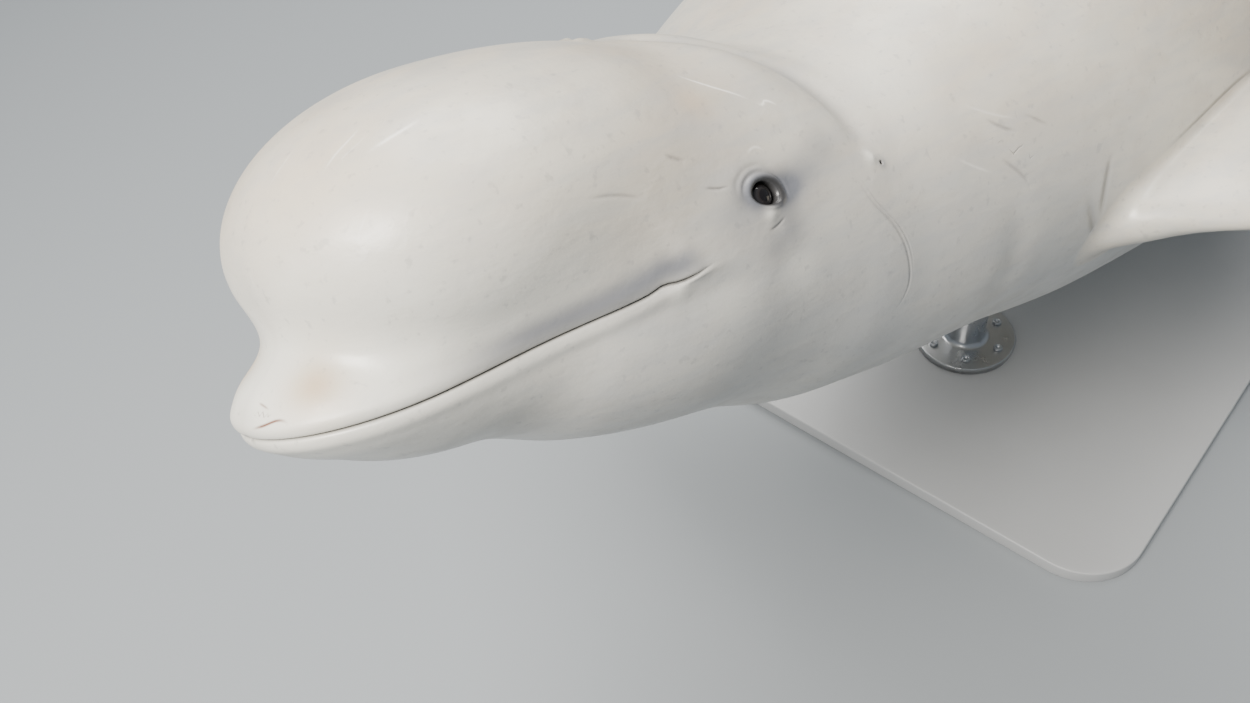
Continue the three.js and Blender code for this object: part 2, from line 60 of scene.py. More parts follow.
turn = np.array(Matrix.Rotation(NOSE_UP, 3, "Y") @ Matrix.Rotation(-ROLL_UP, 3, "X"))
eye_low, eye_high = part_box("eye_left")


# The flesh: rounded forms of the skull, melon and jaws, run together with the trunk, whose
# sections are rounded rectangles. Negative inside, positive outside, in metres near the skin.

FORMS = {  # centre back and up, half length, half width, half height, tilt
    "cranium": (0.325, 0.050, 0.183, 0.183, 0.150, 0),
    "cheeks": (0.330, -0.013, 0.180, 0.182, 0.114, 0),
    "melon": (0.210, 0.104, 0.178, 0.166, 0.112, 0),
    "beak": (0.162, 0.004, 0.168, 0.115, 0.059, -4),
    "chin": (0.212, -0.001, 0.153, 0.108, 0.059, 6),
}
TRUNK = np.array([  # distance back, height of the back, of the belly, half width
    [0.300, 0.095, -0.090, 0.140],
    [0.420, 0.177, -0.169, 0.207],
    [0.520, 0.163, -0.200, 0.231],
    [0.620, 0.169, -0.230, 0.262],
    [0.850, 0.213, -0.305, 0.329],
    [1.200, 0.290, -0.380, 0.376],
    [1.700, 0.338, -0.400, 0.370],
    [2.200, 0.300, -0.340, 0.300],
    [2.700, 0.220, -0.242, 0.200],
    [3.200, 0.122, -0.148, 0.102],
    [3.550, 0.060, -0.078, 0.052],
    [3.850, 0.002, -0.018, 0.018],
])
SECTION_POWER = 2.15
NECK_BEND = (0.380, 0.750, 0.450, -0.020, math.radians(7.5))  # from, to, pivot x and z, rise
TAIL_BEND = (2.300, 3.300, 2.700, 0.000, math.radians(2))


def share(start, end, x):
    """Smooth step: 0 before start, 1 after end, and 3t² - 2t³ between them."""
    t = np.clip((x - start) / (end - start), 0, 1)
    return t * t * (3 - 2 * t)


def cubic(t, start, end, start_slope, end_slope):
    """(1 + 2t)(1-t)² start + t(1-t)² its slope + t²(3 - 2t) end - t²(1-t) its slope."""
    s = 1 - t
    return ((1 + 2 * t) * s * s * start + t * s * s * start_slope
            + t * t * (3 - 2 * t) * end - t * t * s * end_slope)


def xyz(x, y, z):
    """Points from their coordinates, which may be single values."""
    return np.stack(np.broadcast_arrays(x, y, z), axis=-1)


def trunk_at(column, x):
    """One column of the stations at x: a cubic through them whose slopes join their neighbours."""
    stations, values = TRUNK[:, 0], TRUNK[:, column]
    i = np.arange(len(stations))
    before, after = np.maximum(i - 1, 0), np.minimum(i + 1, len(i) - 1)
    slopes = (values[after] - values[before]) / (stations[after] - stations[before])
    at = np.clip(x, stations[0], stations[-1])
    i = np.searchsorted(stations[1:-1], at)
    h = stations[i + 1] - stations[i]
    return cubic((at - stations[i]) / h, values[i], values[i + 1], h * slopes[i], h * slopes[i + 1])


def rise(bend, x):
    """Angle by which a bend has turned a section at x."""
    return bend[4] * share(bend[0], bend[1], x)


def turned(p, bend, angle):
    """Points turned by an angle about a bend's pivot, in the plane of symmetry."""
    x, z = p[..., 0] - bend[2], p[..., 2] - bend[3]
    c, s = np.cos(angle), np.sin(angle)
    return xyz(bend[2] + x * c - z * s, p[..., 1], bend[3] + x * s + z * c)


def bent(p):
    """The straight body's points with the tail, and then the trunk behind the head, raised."""
    x = p[..., 0]
    return turned(turned(p, TAIL_BEND, rise(TAIL_BEND, x)), NECK_BEND, rise(NECK_BEND, x))


def outside_form(p, name):
    """Nearly the distance outside a tilted ellipsoid: near * (near - 1) / slope of near."""
    x0, z0, length, width, height, tilt = FORMS[name]
    c, s = math.cos(math.radians(tilt)), math.sin(math.radians(tilt))
    x = (p[..., 0] - x0) * c + (p[..., 2] - z0) * s
    z = -(p[..., 0] - x0) * s + (p[..., 2] - z0) * c
    y = p[..., 1]
    near = np.sqrt((x / length) ** 2 + (y / width) ** 2 + (z / height) ** 2)
    slope = np.sqrt((x / length**2) ** 2 + (y / width**2) ** 2 + (z / height**2) ** 2)
    return near * (near - 1) / np.maximum(slope, 1e-6)


def outside_trunk(p):
    """Nearly the distance outside the trunk: (|y/w|^n + |z/h|^n)^(1/n) - 1, times its half width."""
    q = turned(p, NECK_BEND, -rise(NECK_BEND, p[..., 0]))
    q = turned(q, TAIL_BEND, -rise(TAIL_BEND, q[..., 0]))
    back, belly, half_width = (trunk_at(column, q[..., 0]) for column in (1, 2, 3))
    half_height = (back - belly) / 2
    across = np.abs(q[..., 1]) / half_width
    up = np.abs(q[..., 2] - (back + belly) / 2) / half_height
    rho = (across**SECTION_POWER + up**SECTION_POWER) ** (1 / SECTION_POWER)
    return np.maximum((rho - 1) * np.minimum(half_width, half_height), TRUNK[0, 0] - q[..., 0])


def fused(a, b, width):
    """Two forms as one, with a rounded valley: the lesser distance, less width * h * (1 - h)."""
    h = np.clip(0.5 + 0.5 * (b - a) / width, 0, 1)
    return b * (1 - h) + a * h - width * h * (1 - h)


def outside_flesh(p):
    """Skull and cheeks, then the trunk, the melon, and last beak and chin, run together."""
    skull = fused(outside_form(p, "cranium"), outside_form(p, "cheeks"), 0.050)
    forehead = fused(fused(skull, outside_trunk(p), 0.060), outside_form(p, "melon"), 0.045)
    jaws = fused(outside_form(p, "beak"), outside_form(p, "chin"), 0.030)
    return fused(forehead, jaws, 0.035)


def skin_slope(p):
    """Gradient of the distance outside the flesh, from differences over 1 mm."""
    steps = np.eye(3) * 0.0005
    return np.stack([outside_flesh(p + d) - outside_flesh(p - d) for d in steps], axis=-1) / 0.001


def skin_normal(p):
    """Unit vector straight out of the skin."""
    slope = skin_slope(p)
    return slope / np.linalg.norm(slope, axis=-1, keepdims=True)


def on_skin(p):
    """The nearest points of the skin: four steps down the gradient, each -f * g / |g|²."""
    for _ in range(4):
        slope = skin_slope(p)
        p = p - slope * (outside_flesh(p) / np.sum(slope**2, axis=-1))[..., None]
    return p


def crossing(beyond, start, step):
    """Where lines first get beyond the skin: equal steps up to there, then 22 halvings."""
    before, after = start, start + step
    passed = beyond(after)
    while not passed.all():
        before, after = np.where(passed, before, after), np.where(passed, after, after + step)
        passed = beyond(after)
    for _ in range(22):
        middle = (before + after) / 2
        passed = beyond(middle)
        before, after = np.where(passed, before, middle), np.where(passed, middle, after)
    return (before + after) / 2


def leave(origin, direction):
    """Where rays from inside leave the flesh, looked for in steps of 16 mm."""
    start = np.zeros(np.broadcast_shapes(origin.shape, direction.shape)[:-1])
    reach = crossing(lambda r: outside_flesh(origin + direction * r[..., None]) > 0, start, 0.016)
    return origin + direction * reach[..., None]


def side_skin(x, z, side):
    """Point of the skin straight out to one side of the body's middle line."""
    return leave(np.array([x, 0, z]), np.array([0, side, 0.0]))


# The whale's place on the stand. The middle of its left eyeball is worked out under the skin, and
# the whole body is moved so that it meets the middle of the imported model's.

EYE_SUNK = 0.0015

eye_skin = side_skin(*EYE_PLACE[[0, 2]], -1)
eyeball_centre = eye_skin - skin_normal(eye_skin) * (EYE_SUNK + EYEBALL_RADIUS)
place = np.array((eye_low + eye_high) / 2) - turn @ eyeball_centre


def on_stand(p):
    """Points of the whale in the model's own frame."""
    return p @ turn.T + place


# Camera: a phone held over the rim of a pool, close to the left of the snout and above it, so
# that the head fills the picture and the body runs off behind it.

CAMERA_PLACE = np.array([-0.246, -0.665, 0.232])
CAMERA_YAW, CAMERA_PITCH, CAMERA_ROLL = (math.radians(a) for a in (-41.8, -19.3, -14.4))
FOCAL_PIXELS, IMAGE_WIDTH, SENSOR_WIDTH = 1014, 1250, 36

ahead = Vector((-math.sin(CAMERA_YAW) * math.cos(CAMERA_PITCH),
                math.cos(CAMERA_YAW) * math.cos(CAMERA_PITCH), math.sin(CAMERA_PITCH)))
level = Vector((math.cos(CAMERA_YAW), math.sin(CAMERA_YAW), 0))
upright = level.cross(ahead)
right = level * math.cos(CAMERA_ROLL) + upright * math.sin(CAMERA_ROLL)
above = upright * math.cos(CAMERA_ROLL) - level * math.sin(CAMERA_ROLL)
camera_axes = Matrix(turn.tolist()) @ Matrix((right, above, -ahead)).transposed()
lens = bpy.data.cameras.new("camera")
lens.sensor_width = SENSOR_WIDTH
lens.lens = SENSOR_WIDTH * FOCAL_PIXELS / IMAGE_WIDTH
lens.clip_start = 0.02
camera = bpy.data.objects.new("camera", lens)
camera.matrix_world = Matrix.Translation(on_stand(CAMERA_PLACE).tolist()) @ camera_axes.to_4x4()
bpy.context.scene.collection.objects.link(camera)
bpy.context.scene.camera = camera


# Skin over head and trunk: one closed sheet of rings round a line inside the body. The first
# rings open like cones from the tip of the snout, the others stand across the trunk. The rays to
# left and right of the head keep to the height of the mouth, so one row of points is its line.
# The head has twice as many columns of points as the trunk.

TRUNK_COLUMNS = 144
HEAD_COLUMNS = 2 * TRUNK_COLUMNS
CONE_RINGS = 92
SPINE_FRONT, CONES_END, TAIL_START = 0.110, 0.330, 3.400
MOUTH_CROWDING, MOUTH_CROWDED_TO = 0.85, (0.30, 0.42)
BACK_CROWDING, BACK_CROWDED_FROM, BACK_CROWDED_TO = 0.45, (1.3, 1.9), (2.8, 3.3)
MOUTH_FRONT, MOUTH_CORNER, MOUTH_RISE = 0.008, 0.277, 0.024
HEAD_SPACING = np.array([[0.33, 0.0036], [0.36, 0.0029], [0.54, 0.0029], [0.62, 0.0065]])
TRUNK_SPACING = np.array([[0.62, 0.0065], [0.70, 0.008], [1.06, 0.008], [1.25, 0.024], [1.90, 0.024],
                          [2.00, 0.016], [2.65, 0.016], [2.75, 0.024], [3.10, 0.024], [3.40, 0.012]])


def mouth_height(x):
    """Height of the mouth's line: rising with the square of x, with a small step at its corner."""
    x = np.clip(x, 0, 0.30)
    step = 0.0019 * np.exp(-((x - 0.246) / 0.0075) ** 2) - 0.0012 * share(0.246, 0.262, x)
    return MOUTH_FRONT + MOUTH_RISE * (x / MOUTH_CORNER) ** 2 + step


def ring_places(spacing):
    """Distances back of rings at a given spacing: their count so far is the sum of 1 / spacing."""
    x = np.linspace(spacing[0, 0], spacing[-1, 0], 4000)
    density = 1 / np.interp(x, spacing[:, 0], spacing[:, 1])
    count = np.concatenate([[0], np.cumsum((density[1:] + density[:-1]) / 2 * np.diff(x))])
    rings = int(round(count[-1]))
    return np.interp(np.arange(1, rings + 1) * count[-1] / rings, count, x)


def around_at(x, columns):
    """Angles of a ring's columns: u + a/2 * sin 2u crowds them at the mouth, or along the back."""
    crowd = MOUTH_CROWDING * (1 - share(*MOUTH_CROWDED_TO, x))
    crowd -= BACK_CROWDING * share(*BACK_CROWDED_FROM, x) * (1 - share(*BACK_CROWDED_TO, x))
    u = 2 * np.pi * np.arange(columns) / columns
    return u + crowd[:, None] / 2 * np.sin(2 * u)


def spine_rings(x, opening, columns):
    """Rings of skin points: rays at an opening angle from the nose's direction, round the spine."""
    middle = (trunk_at(1, x) + trunk_at(2, x)) / 2
    lean = rise(NECK_BEND, x) + rise(TAIL_BEND, x)
    height = np.full(len(x), MOUTH_FRONT)
    side_ray = xyz(-np.cos(opening), -np.sin(opening), 0)
    for _ in range(5):
        side_x = leave(xyz(x, 0, height), side_ray)[:, 0]
        side_x = np.where(opening < np.pi / 2, side_x, x)
        line = mouth_height(side_x)
        height = line + (middle - line) * share(0.30, 0.60, side_x)
    origin = bent(xyz(x, 0.0, height))
    around = around_at(side_x, columns)
    side = np.sin(opening)[:, None] * np.sin(around)
    up = np.sin(opening)[:, None] * np.cos(around)
    lean = lean[:, None]
    direction = xyz(-np.cos(opening)[:, None] - up * np.sin(lean), side, up * np.cos(lean))
    return leave(origin[:, None, :], direction), around[-1]


cone_share = np.arange(1, CONE_RINGS + 1) / CONE_RINGS
neck_x = ring_places(HEAD_SPACING)
head_x = np.concatenate([SPINE_FRONT + (CONES_END - SPINE_FRONT) * cone_share**2, neck_x])
head_opening = np.concatenate([np.sin(cone_share * np.pi / 2) * np.pi / 2,
                               np.full(len(neck_x), np.pi / 2)])
trunk_x = ring_places(TRUNK_SPACING)
head_grid, _ = spine_rings(head_x, head_opening, HEAD_COLUMNS)
trunk_grid, last_around = spine_rings(trunk_x, np.full(len(trunk_x), np.pi / 2), TRUNK_COLUMNS)
snout_tip = leave(np.array([SPINE_FRONT, 0, MOUTH_FRONT]), np.array([-1.0, 0, 0]))

# Under the mouth the trunk's front end shows as a ridge, so the rings there are evened out: each
# point moves towards the middle of its neighbours ahead and behind, many times over.
EVENING_ROUNDS, EVENED_BELOW, EVENED_FROM, EVENED_TO = 150, (0.002, 0.018), (0.20, 0.25), (0.36, 0.41)
grid_x = head_grid[..., 0]
below_mouth = share(*EVENED_BELOW, mouth_height(grid_x) - head_grid[..., 2])
on_cheek = share(*EVENED_FROM, grid_x) * (1 - share(*EVENED_TO, grid_x))
evening = (0.5 * below_mouth * on_cheek)[1:-1, :, None]
for _ in range(EVENING_ROUNDS):
    head_grid[1:-1] += evening * ((head_grid[2:] + head_grid[:-2]) / 2 - head_grid[1:-1])


# Tail: the stock flattens and spreads into the two flukes. Each of its rings reaches from one
# leading edge over the top to the other, and back underneath, and the last is the trailing edge.

FLUKE_RINGS = 44
FLUKE_ROOT, FLUKE_NOTCH, FLUKE_TIP, FLUKE_SPAN = 3.490, 3.880, 3.939, 0.475
FLUKE_BULGE, FLUKE_THICKNESS, TIP_SHARE, FLUKE_EDGE = 0.100, 0.058, 0.1, 0.0012
STOCK_END, STOCK_THINNED = (3.74, 3.88), 0.85


def leading_edge(x):
    """Half width of stock and flukes at x: the cube root of both half widths' cubes, added. That
    of the flukes alone is the span times the share of their length to the power 1/1.7."""
    swept = np.clip((x - FLUKE_ROOT) / (FLUKE_TIP - FLUKE_ROOT), 0, 1) ** (1 / 1.7) * FLUKE_SPAN
    return (trunk_at(3, x) ** 3 + swept**3) ** (1 / 3) * (1 - 0.01 * share(3.90, FLUKE_TIP, x))


def trailing_edge(t):
    """How far back the trailing edge is at a share t of the span: notch, bulge and tip."""
    return (FLUKE_NOTCH + (FLUKE_TIP - FLUKE_NOTCH) * t
            + FLUKE_BULGE * np.sin(np.pi * np.clip(t, 0, 1) ** 0.75) ** 0.9)


def fluke_height(x, y):
    """Half thickness of the tail: the cube root of the stock's and the blade's cubes, added."""
    half_height = (trunk_at(1, x) - trunk_at(2, x)) / 2 * (1 - STOCK_THINNED * share(*STOCK_END, x))
    q = np.clip(np.abs(y) / trunk_at(3, x), 0, 1)
    stock = half_height * (1 - q**SECTION_POWER) ** (1 / SECTION_POWER)
    edge_x = np.linspace(3.50, FLUKE_TIP, 800)
    edge_y = leading_edge(edge_x)
    narrow = np.argmin(edge_y)
    front = np.interp(np.abs(y), edge_y[narrow:], edge_x[narrow:])
    t = np.clip(np.abs(y) / FLUKE_SPAN, 0, 1)
    along = np.clip((x - front) / np.maximum(trailing_edge(t) - front, 1e-4), 0, 1)
    thick = FLUKE_THICKNESS * (TIP_SHARE + (1 - TIP_SHARE) * (1 - t) ** 1.6)
    blade = thick * 1.30 * np.sqrt(along) * (1 - along) + FLUKE_EDGE * share(0.0, 0.2, along)
    return (stock**3 + blade**3) ** (1 / 3)


def fluke_rings(around):
    """Rings over the tail. Seen from above, each half is a patch between midline and leading edge,
    last ring and trailing edge: the straight blends of both pairs, less that of the corners."""
    half_width = trunk_at(3, TAIL_START)
    half_height = (trunk_at(1, TAIL_START) - trunk_at(2, TAIL_START)) / 2
    reach = ((np.abs(np.sin(around)) / half_width) ** SECTION_POWER
             + (np.abs(np.cos(around)) / half_height) ** SECTION_POWER) ** (-1 / SECTION_POWER)
    v = np.clip(np.abs(reach * np.sin(around)) / half_width, 0, 1)
    u = (np.arange(1, FLUKE_RINGS + 1) / FLUKE_RINGS)[:, None]
    edge_x = TAIL_START + (FLUKE_TIP - TAIL_START) * u
    t = v**1.15
    start = np.stack([np.full_like(v, TAIL_START), v * half_width])
    finish = np.stack([trailing_edge(t), t * FLUKE_SPAN * 0.99])
    middle = np.stack([TAIL_START + (FLUKE_NOTCH - TAIL_START) * u, 0 * u])
    edge = np.stack([edge_x, leading_edge(edge_x)])
    edge[:, -1] = finish[:, v.argmax()][:, None]
    corner = np.array([TAIL_START, half_width])[:, None, None]
    flat = ((1 - u) * start[:, None, :] + u * finish[:, None, :] + (1 - v) * middle + v * edge
            - (1 - u) * (1 - v) * np.array([TAIL_START, 0])[:, None, None] - (1 - u) * v * corner
            - u * (1 - v) * np.array([FLUKE_NOTCH, 0])[:, None, None] - u * v * edge[:, -1:])
    x, y = flat
    h = fluke_height(x, y) * np.where(v >= 1 - 1e-9, 0, 1)
    middle_z = (trunk_at(1, x) + trunk_at(2, x)) / 2
    side = np.where(np.sin(around) < 0, -1, 1)
    top = np.where(np.cos(around) > 0, 1, -1)
    return bent(xyz(x, y * side, middle_z + h * top))


back_grid = np.concatenate([trunk_grid, fluke_rings(last_around)])


# Joining the sheet: its points and faces are collected here, first the two grids and the tip of
# the snout, then the loops of skin that fill the windows cut for eyes, ears, blowhole and flippers.

points, on_flesh, faces = [], [], []


def add_points(p, lies_on_flesh):
    """Collects an array of points, and gives their numbers in the same arrangement."""
    first = sum(len(block) for block in points)
    points.append(p.reshape(-1, 3))
    on_flesh.append(np.broadcast_to(lies_on_flesh, p.shape[:-1]).ravel())
    return first + np.arange(p[..., 0].size).reshape(p.shape[:-1])


def join_rows(rows, cells=True):
    """Collects the faces between neighbouring rows of point numbers, each of which is a ring."""
    after = np.roll(rows, -1, axis=1)
    quads = np.stack([rows[:-1], after[:-1], after[1:], rows[1:]], axis=-1)
    faces.extend(quads[np.broadcast_to(cells, quads.shape[:-1])].tolist())


def close_with_pole(ring, pole):
    """Collects the triangles between a ring of point numbers and one point."""
    faces.extend([a, b, pole] for a, b in zip(ring.tolist(), np.roll(ring, -1).tolist()))


def close_flat(ring, start):
    """Collects the faces that sew a ring together across, from its point start to the opposite."""
    ring = np.roll(ring, -start)
    half = len(ring) // 2
    one, other = ring[:half + 1].tolist(), np.roll(ring[::-1], 1)[:half + 1].tolist()
    faces.extend(list(dict.fromkeys(edge)) for edge in zip(one, one[1:], other[1:], other))


def cut_window(grid, numbers, cells, centre, half_length, half_height):
    """Takes the cells round a point out of a grid, and gives the window's border as numbers and
    as points: along the first ring, down the last column, back along the last ring and up."""
    offset = np.abs(grid - centre)
    near = (offset[..., 0] < half_length) & (np.linalg.norm(offset[..., 1:], axis=-1) < half_height)
    rings, columns = np.nonzero(near.any(axis=1))[0], np.nonzero(near.any(axis=0))[0]
    count = grid.shape[1]
    if columns[-1] - columns[0] > count / 2:
        columns = np.sort(np.where(columns > count / 2, columns - count, columns))
    across, down = np.arange(columns[0], columns[-1]), np.arange(rings[0], rings[-1])
    cells[rings[0]:rings[-1], across % count] = False
    ring = np.concatenate([0 * across + rings[0], down, 0 * across + rings[-1], down[::-1] + 1])
    column = np.concatenate([across, 0 * down + columns[-1], across[::-1] + 1, 0 * down + columns[0]])
    return numbers[ring, column % count], grid[ring, column % count]


def skin_frame(x, z, side, slant=0.0):
    """Point of the skin on a side, its normal, and two directions along it turned by a slant."""
    point = side_skin(x, z, side)
    normal = skin_normal(point)
    flat = np.array([math.cos(slant), 0, math.sin(slant)])
    along = flat - normal * (flat @ normal)
    along /= np.linalg.norm(along)
    return point, normal, along, np.cross(normal, along)


def even_angles(rim, point, along, across):
    """Evenly spaced angles for a loop inside a rim, starting with it and running its way."""
    angle = np.unwrap(np.arctan2((rim - point) @ across, (rim - point) @ along))
    turn_way = 1 if angle[-1] > angle[0] else -1
    even = turn_way * 2 * np.pi * np.arange(len(angle)) / len(angle)
    return even + np.mean(angle - even)


def skin_between(rim, inner, count, crowding):
    """Loops from a rim to an inner outline, closer together towards it, laid on the flesh."""
    blend = 1 - (1 - np.arange(1, count + 1) / count) ** crowding
    return on_skin(rim + (inner - rim) * blend[:, None, None])


def sew(border, layers, pole=None):
    """Joins a window's border to loops of points, each given with whether it lies on the flesh,
    and closes the last loop with a point. Gives the last loop's numbers."""
    rows = np.concatenate([border[None]] + [add_points(p, on_it) for p, on_it in layers])
    join_rows(rows)
    if pole is not None:
        close_with_pole(rows[-1], int(add_points(pole[None], False)[0]))
    return rows[-1]


head_numbers = add_points(head_grid, True)
back_numbers = add_points(back_grid, (np.arange(len(back_grid)) < len(trunk_grid))[:, None])
tip_number = add_points(snout_tip[None], True)
head_cells = np.ones((len(head_grid) - 1, HEAD_COLUMNS), bool)
back_cells = np.ones((len(back_grid) - 1, TRUNK_COLUMNS), bool)


# Eyelids: soft folds of skin round each eye, which close on the eyeball in a thin margin and
# line its socket behind it. The opening slopes down to the rear and is flatter below.

LID_LENGTH, LID_ABOVE, LID_BELOW, LID_SLANT = 0.0135, 0.0108, 0.0082, math.radians(-20)
LID_GAP, LINING_LAP, LID_CROWDING = 0.0004, 0.985, 1.4
EYE_WINDOW = 0.030, 0.027
LID_LOOPS, SOCKET_TURNS = 24, np.array([0, 0.05, 0.13, 0.27, 0.45, 0.66, 0.86])

eye_frames = {}
for side in (-1, 1):
    point, normal, along, across = skin_frame(*EYE_PLACE[[0, 2]], side, LID_SLANT)
    upward = across * np.sign(across[2])
    eye_frames[side] = point, normal, along, upward
    border, rim = cut_window(head_grid, head_numbers, head_cells, point, *EYE_WINDOW)
    angle = even_angles(rim, point, along, upward)[:, None]
    height = np.where(np.sin(angle) > 0, LID_ABOVE, LID_BELOW)
    margin = LID_LENGTH * np.cos(angle) * along + height * np.sin(angle) * upward
    spread = np.linalg.norm(margin, axis=-1)
    ball = point - normal * (EYE_SUNK + EYEBALL_RADIUS)
    socket = EYEBALL_RADIUS + LID_GAP
    opening = np.arcsin(spread * LINING_LAP / socket)
    polar = (opening + (np.pi - opening) * SOCKET_TURNS[:, None])[..., None]
    lining = ball + socket * (np.cos(polar) * normal + np.sin(polar) * margin / spread[:, None])
    lids = skin_between(rim, point + margin, LID_LOOPS, LID_CROWDING)
    sew(border, [(lids, True), (lining, False)], ball - normal * socket)


# Ear openings: a whale has no outer ear, only a pinhole in the skin on each side, some way behind
# the eye. Each is a round hole that narrows to half its width at its flat end.

EAR_X, EAR_Z, EAR_RADIUS, EAR_DEPTH, EAR_WINDOW = 0.484, 0.0485, 0.0021, 0.007, 0.0105
EAR_LOOPS, EAR_CROWDING = 6, 1.4

for side in (-1, 1):
    point, normal, along, across = skin_frame(EAR_X, EAR_Z, side)
    border, rim = cut_window(head_grid, head_numbers, head_cells, point, EAR_WINDOW, EAR_WINDOW)
    angle = even_angles(rim, point, along, across)[:, None]
    ring = EAR_RADIUS * (np.cos(angle) * along + np.sin(angle) * across)
    depth = np.array([0.3, 0.7, 1.0])[:, None, None]
    pinhole = point + ring * (1 - 0.5 * depth) - normal * EAR_DEPTH * depth
    round_ear = skin_between(rim, point + ring, EAR_LOOPS, EAR_CROWDING)
    sew(border, [(round_ear, True), (pinhole, False)], point - normal * EAR_DEPTH)


# Blowhole: the nostril on top of the head, behind the melon. It is shut to one crescent slit in the
# skin, its horns pointing forward, and the slit's walls close in to its bottom.

BLOWHOLE_X, BLOWHOLE_RADIUS, BLOWHOLE_SWEEP = 0.372, 0.030, math.radians(62)
BLOWHOLE_HALF_WIDTH, BLOWHOLE_DEPTH, BLOWHOLE_WINDOW = 0.0016, 0.010, (0.036, 0.046)
BLOWHOLE_LOOPS, BLOWHOLE_CROWDING, OVER_HEAD = 16, 1.6, 0.25


def crescent(angle, half_width):
    """Outline of the slit from above: an arc swept by sin(angle), widened by cos(angle)."""
    sweep = BLOWHOLE_SWEEP * np.sin(angle)
    radius = BLOWHOLE_RADIUS + half_width * np.cos(angle)
    x = BLOWHOLE_X - BLOWHOLE_RADIUS + radius * np.cos(sweep)
    return xyz(x, radius * np.sin(sweep), OVER_HEAD)


crown = leave(np.array([BLOWHOLE_X, 0, 0]), np.array([0, 0, 1.0]))
border, rim = cut_window(head_grid, head_numbers, head_cells, crown, *BLOWHOLE_WINDOW)
angle = even_angles(rim, crown, np.array([1.0, 0, 0]), np.array([0, 1.0, 0]))
horn = int(np.argmin(np.abs(np.sin(angle) - 1)))
angle += np.pi / 2 - angle[horn] + 2 * np.pi * round((angle[horn] - np.pi / 2) / (2 * np.pi))
slit = on_skin(crescent(angle, BLOWHOLE_HALF_WIDTH))
floor_of_slit = on_skin(crescent(angle, BLOWHOLE_HALF_WIDTH / 6))
depth = np.array([0.25, 0.5, 1])[:, None, None]
walls = slit + (floor_of_slit - slit) * depth - skin_normal(crown) * BLOWHOLE_DEPTH * depth
round_slit = skin_between(rim, slit, BLOWHOLE_LOOPS, BLOWHOLE_CROWDING)
close_flat(sew(border, [(round_slit, True), (walls, False)]), horn)


# Flippers: broad rounded paddles that grow from the flank in a rounded fillet. Each is a blade
# with a round leading edge, broader mostly behind, and thinner towards its tip, which curls up.

FLIPPER_X, FLIPPER_Z, FLIPPER_LENGTH, REAR_BROAD_BY, FRONT_BROAD_BY = 0.828, -0.096, 0.465, 0.18, 0.396
FLIPPER_CHORD, FLIPPER_ROOT, FLIPPER_THICK = 0.285, 0.120, 0.058
FLIPPER_OUT, FLIPPER_RAISED, FLIPPER_TWIST = (math.radians(a) for a in (80, 8, 20))
FLIPPER_CURL, FLIPPER_SWEEP, ROOT_ALONG, BROAD_AHEAD = 0.055, 0.050, 0.45, 0.28
FILLET_AHEAD, FILLET_BEHIND, ROOT_MARGIN = 0.026, 0.007, 0.040
FILLET_LOOPS, BLADE_LOOPS, ROOT_LOOPS, ROOT_CROWDING = 8, 30, 6, 1.2

root_skin = side_skin(FLIPPER_X, FLIPPER_Z, -1)
span = np.array([math.cos(FLIPPER_OUT) * math.cos(FLIPPER_RAISED),
                 -math.sin(FLIPPER_OUT) * math.cos(FLIPPER_RAISED), math.sin(FLIPPER_RAISED)])
flat = np.cross([0, 0, 1.0], span)
flat /= np.linalg.norm(flat)
chord = flat * math.cos(FLIPPER_TWIST) + np.cross(span, flat) * math.sin(FLIPPER_TWIST)
chord *= np.sign(chord[0])
blade_up = np.cross(span, chord)
blade_up *= np.sign(blade_up[2])


def flipper_point(reach, angle):
    """Point of the left blade's skin, at a reach from its root and an angle round its section.
    Along the chord it is (1 - cos)/2, and its height sin/2 times thickness, less behind."""
    out = np.clip(reach / FLIPPER_LENGTH, 0, 1)
    broader = FLIPPER_CHORD - FLIPPER_ROOT
    front = -ROOT_ALONG * FLIPPER_ROOT - BROAD_AHEAD * broader * share(0, FRONT_BROAD_BY, out)
    rear = (1 - ROOT_ALONG) * FLIPPER_ROOT + (1 - BROAD_AHEAD) * broader * share(0, REAR_BROAD_BY, out)
    width = rear - front
    thick = FLIPPER_THICK * (0.16 + 0.84 * (1 - out) ** 1.2) * np.maximum(0.12, np.sqrt(1 - out**5))
    along = (1 - np.cos(angle)) / 2
    height = np.sin(angle) / 2 * (1.25 - 0.5 * along) * (1 - 0.35 * along * share(0, 0.3, out))
    narrowed = np.maximum(0.02, np.sqrt(1 - out**4.2))
    place_along = front + width / 2 + (along - 0.5) * width * narrowed + FLIPPER_SWEEP * out**2
    place_up = height * thick + FLIPPER_CURL * out**2.6
    return root_skin + (np.asarray(reach)[..., None] * span + place_along[..., None] * chord
                        + place_up[..., None] * blade_up)


def blade_leaves(angle):
    """Reach at which lines along the blade enter the body, looked for inwards in steps of 2 mm."""
    return crossing(lambda reach: outside_flesh(flipper_point(reach, angle)) <= 0,
                    np.full_like(angle, 0.200), -0.002)


section_angles = np.linspace(0, 2 * np.pi, 60)
footprint = flipper_point(blade_leaves(section_angles), section_angles)
root_middle = on_skin((footprint.min(axis=0) + footprint.max(axis=0)) / 2)
root_half = np.ptp(footprint, axis=0) / 2 + ROOT_MARGIN

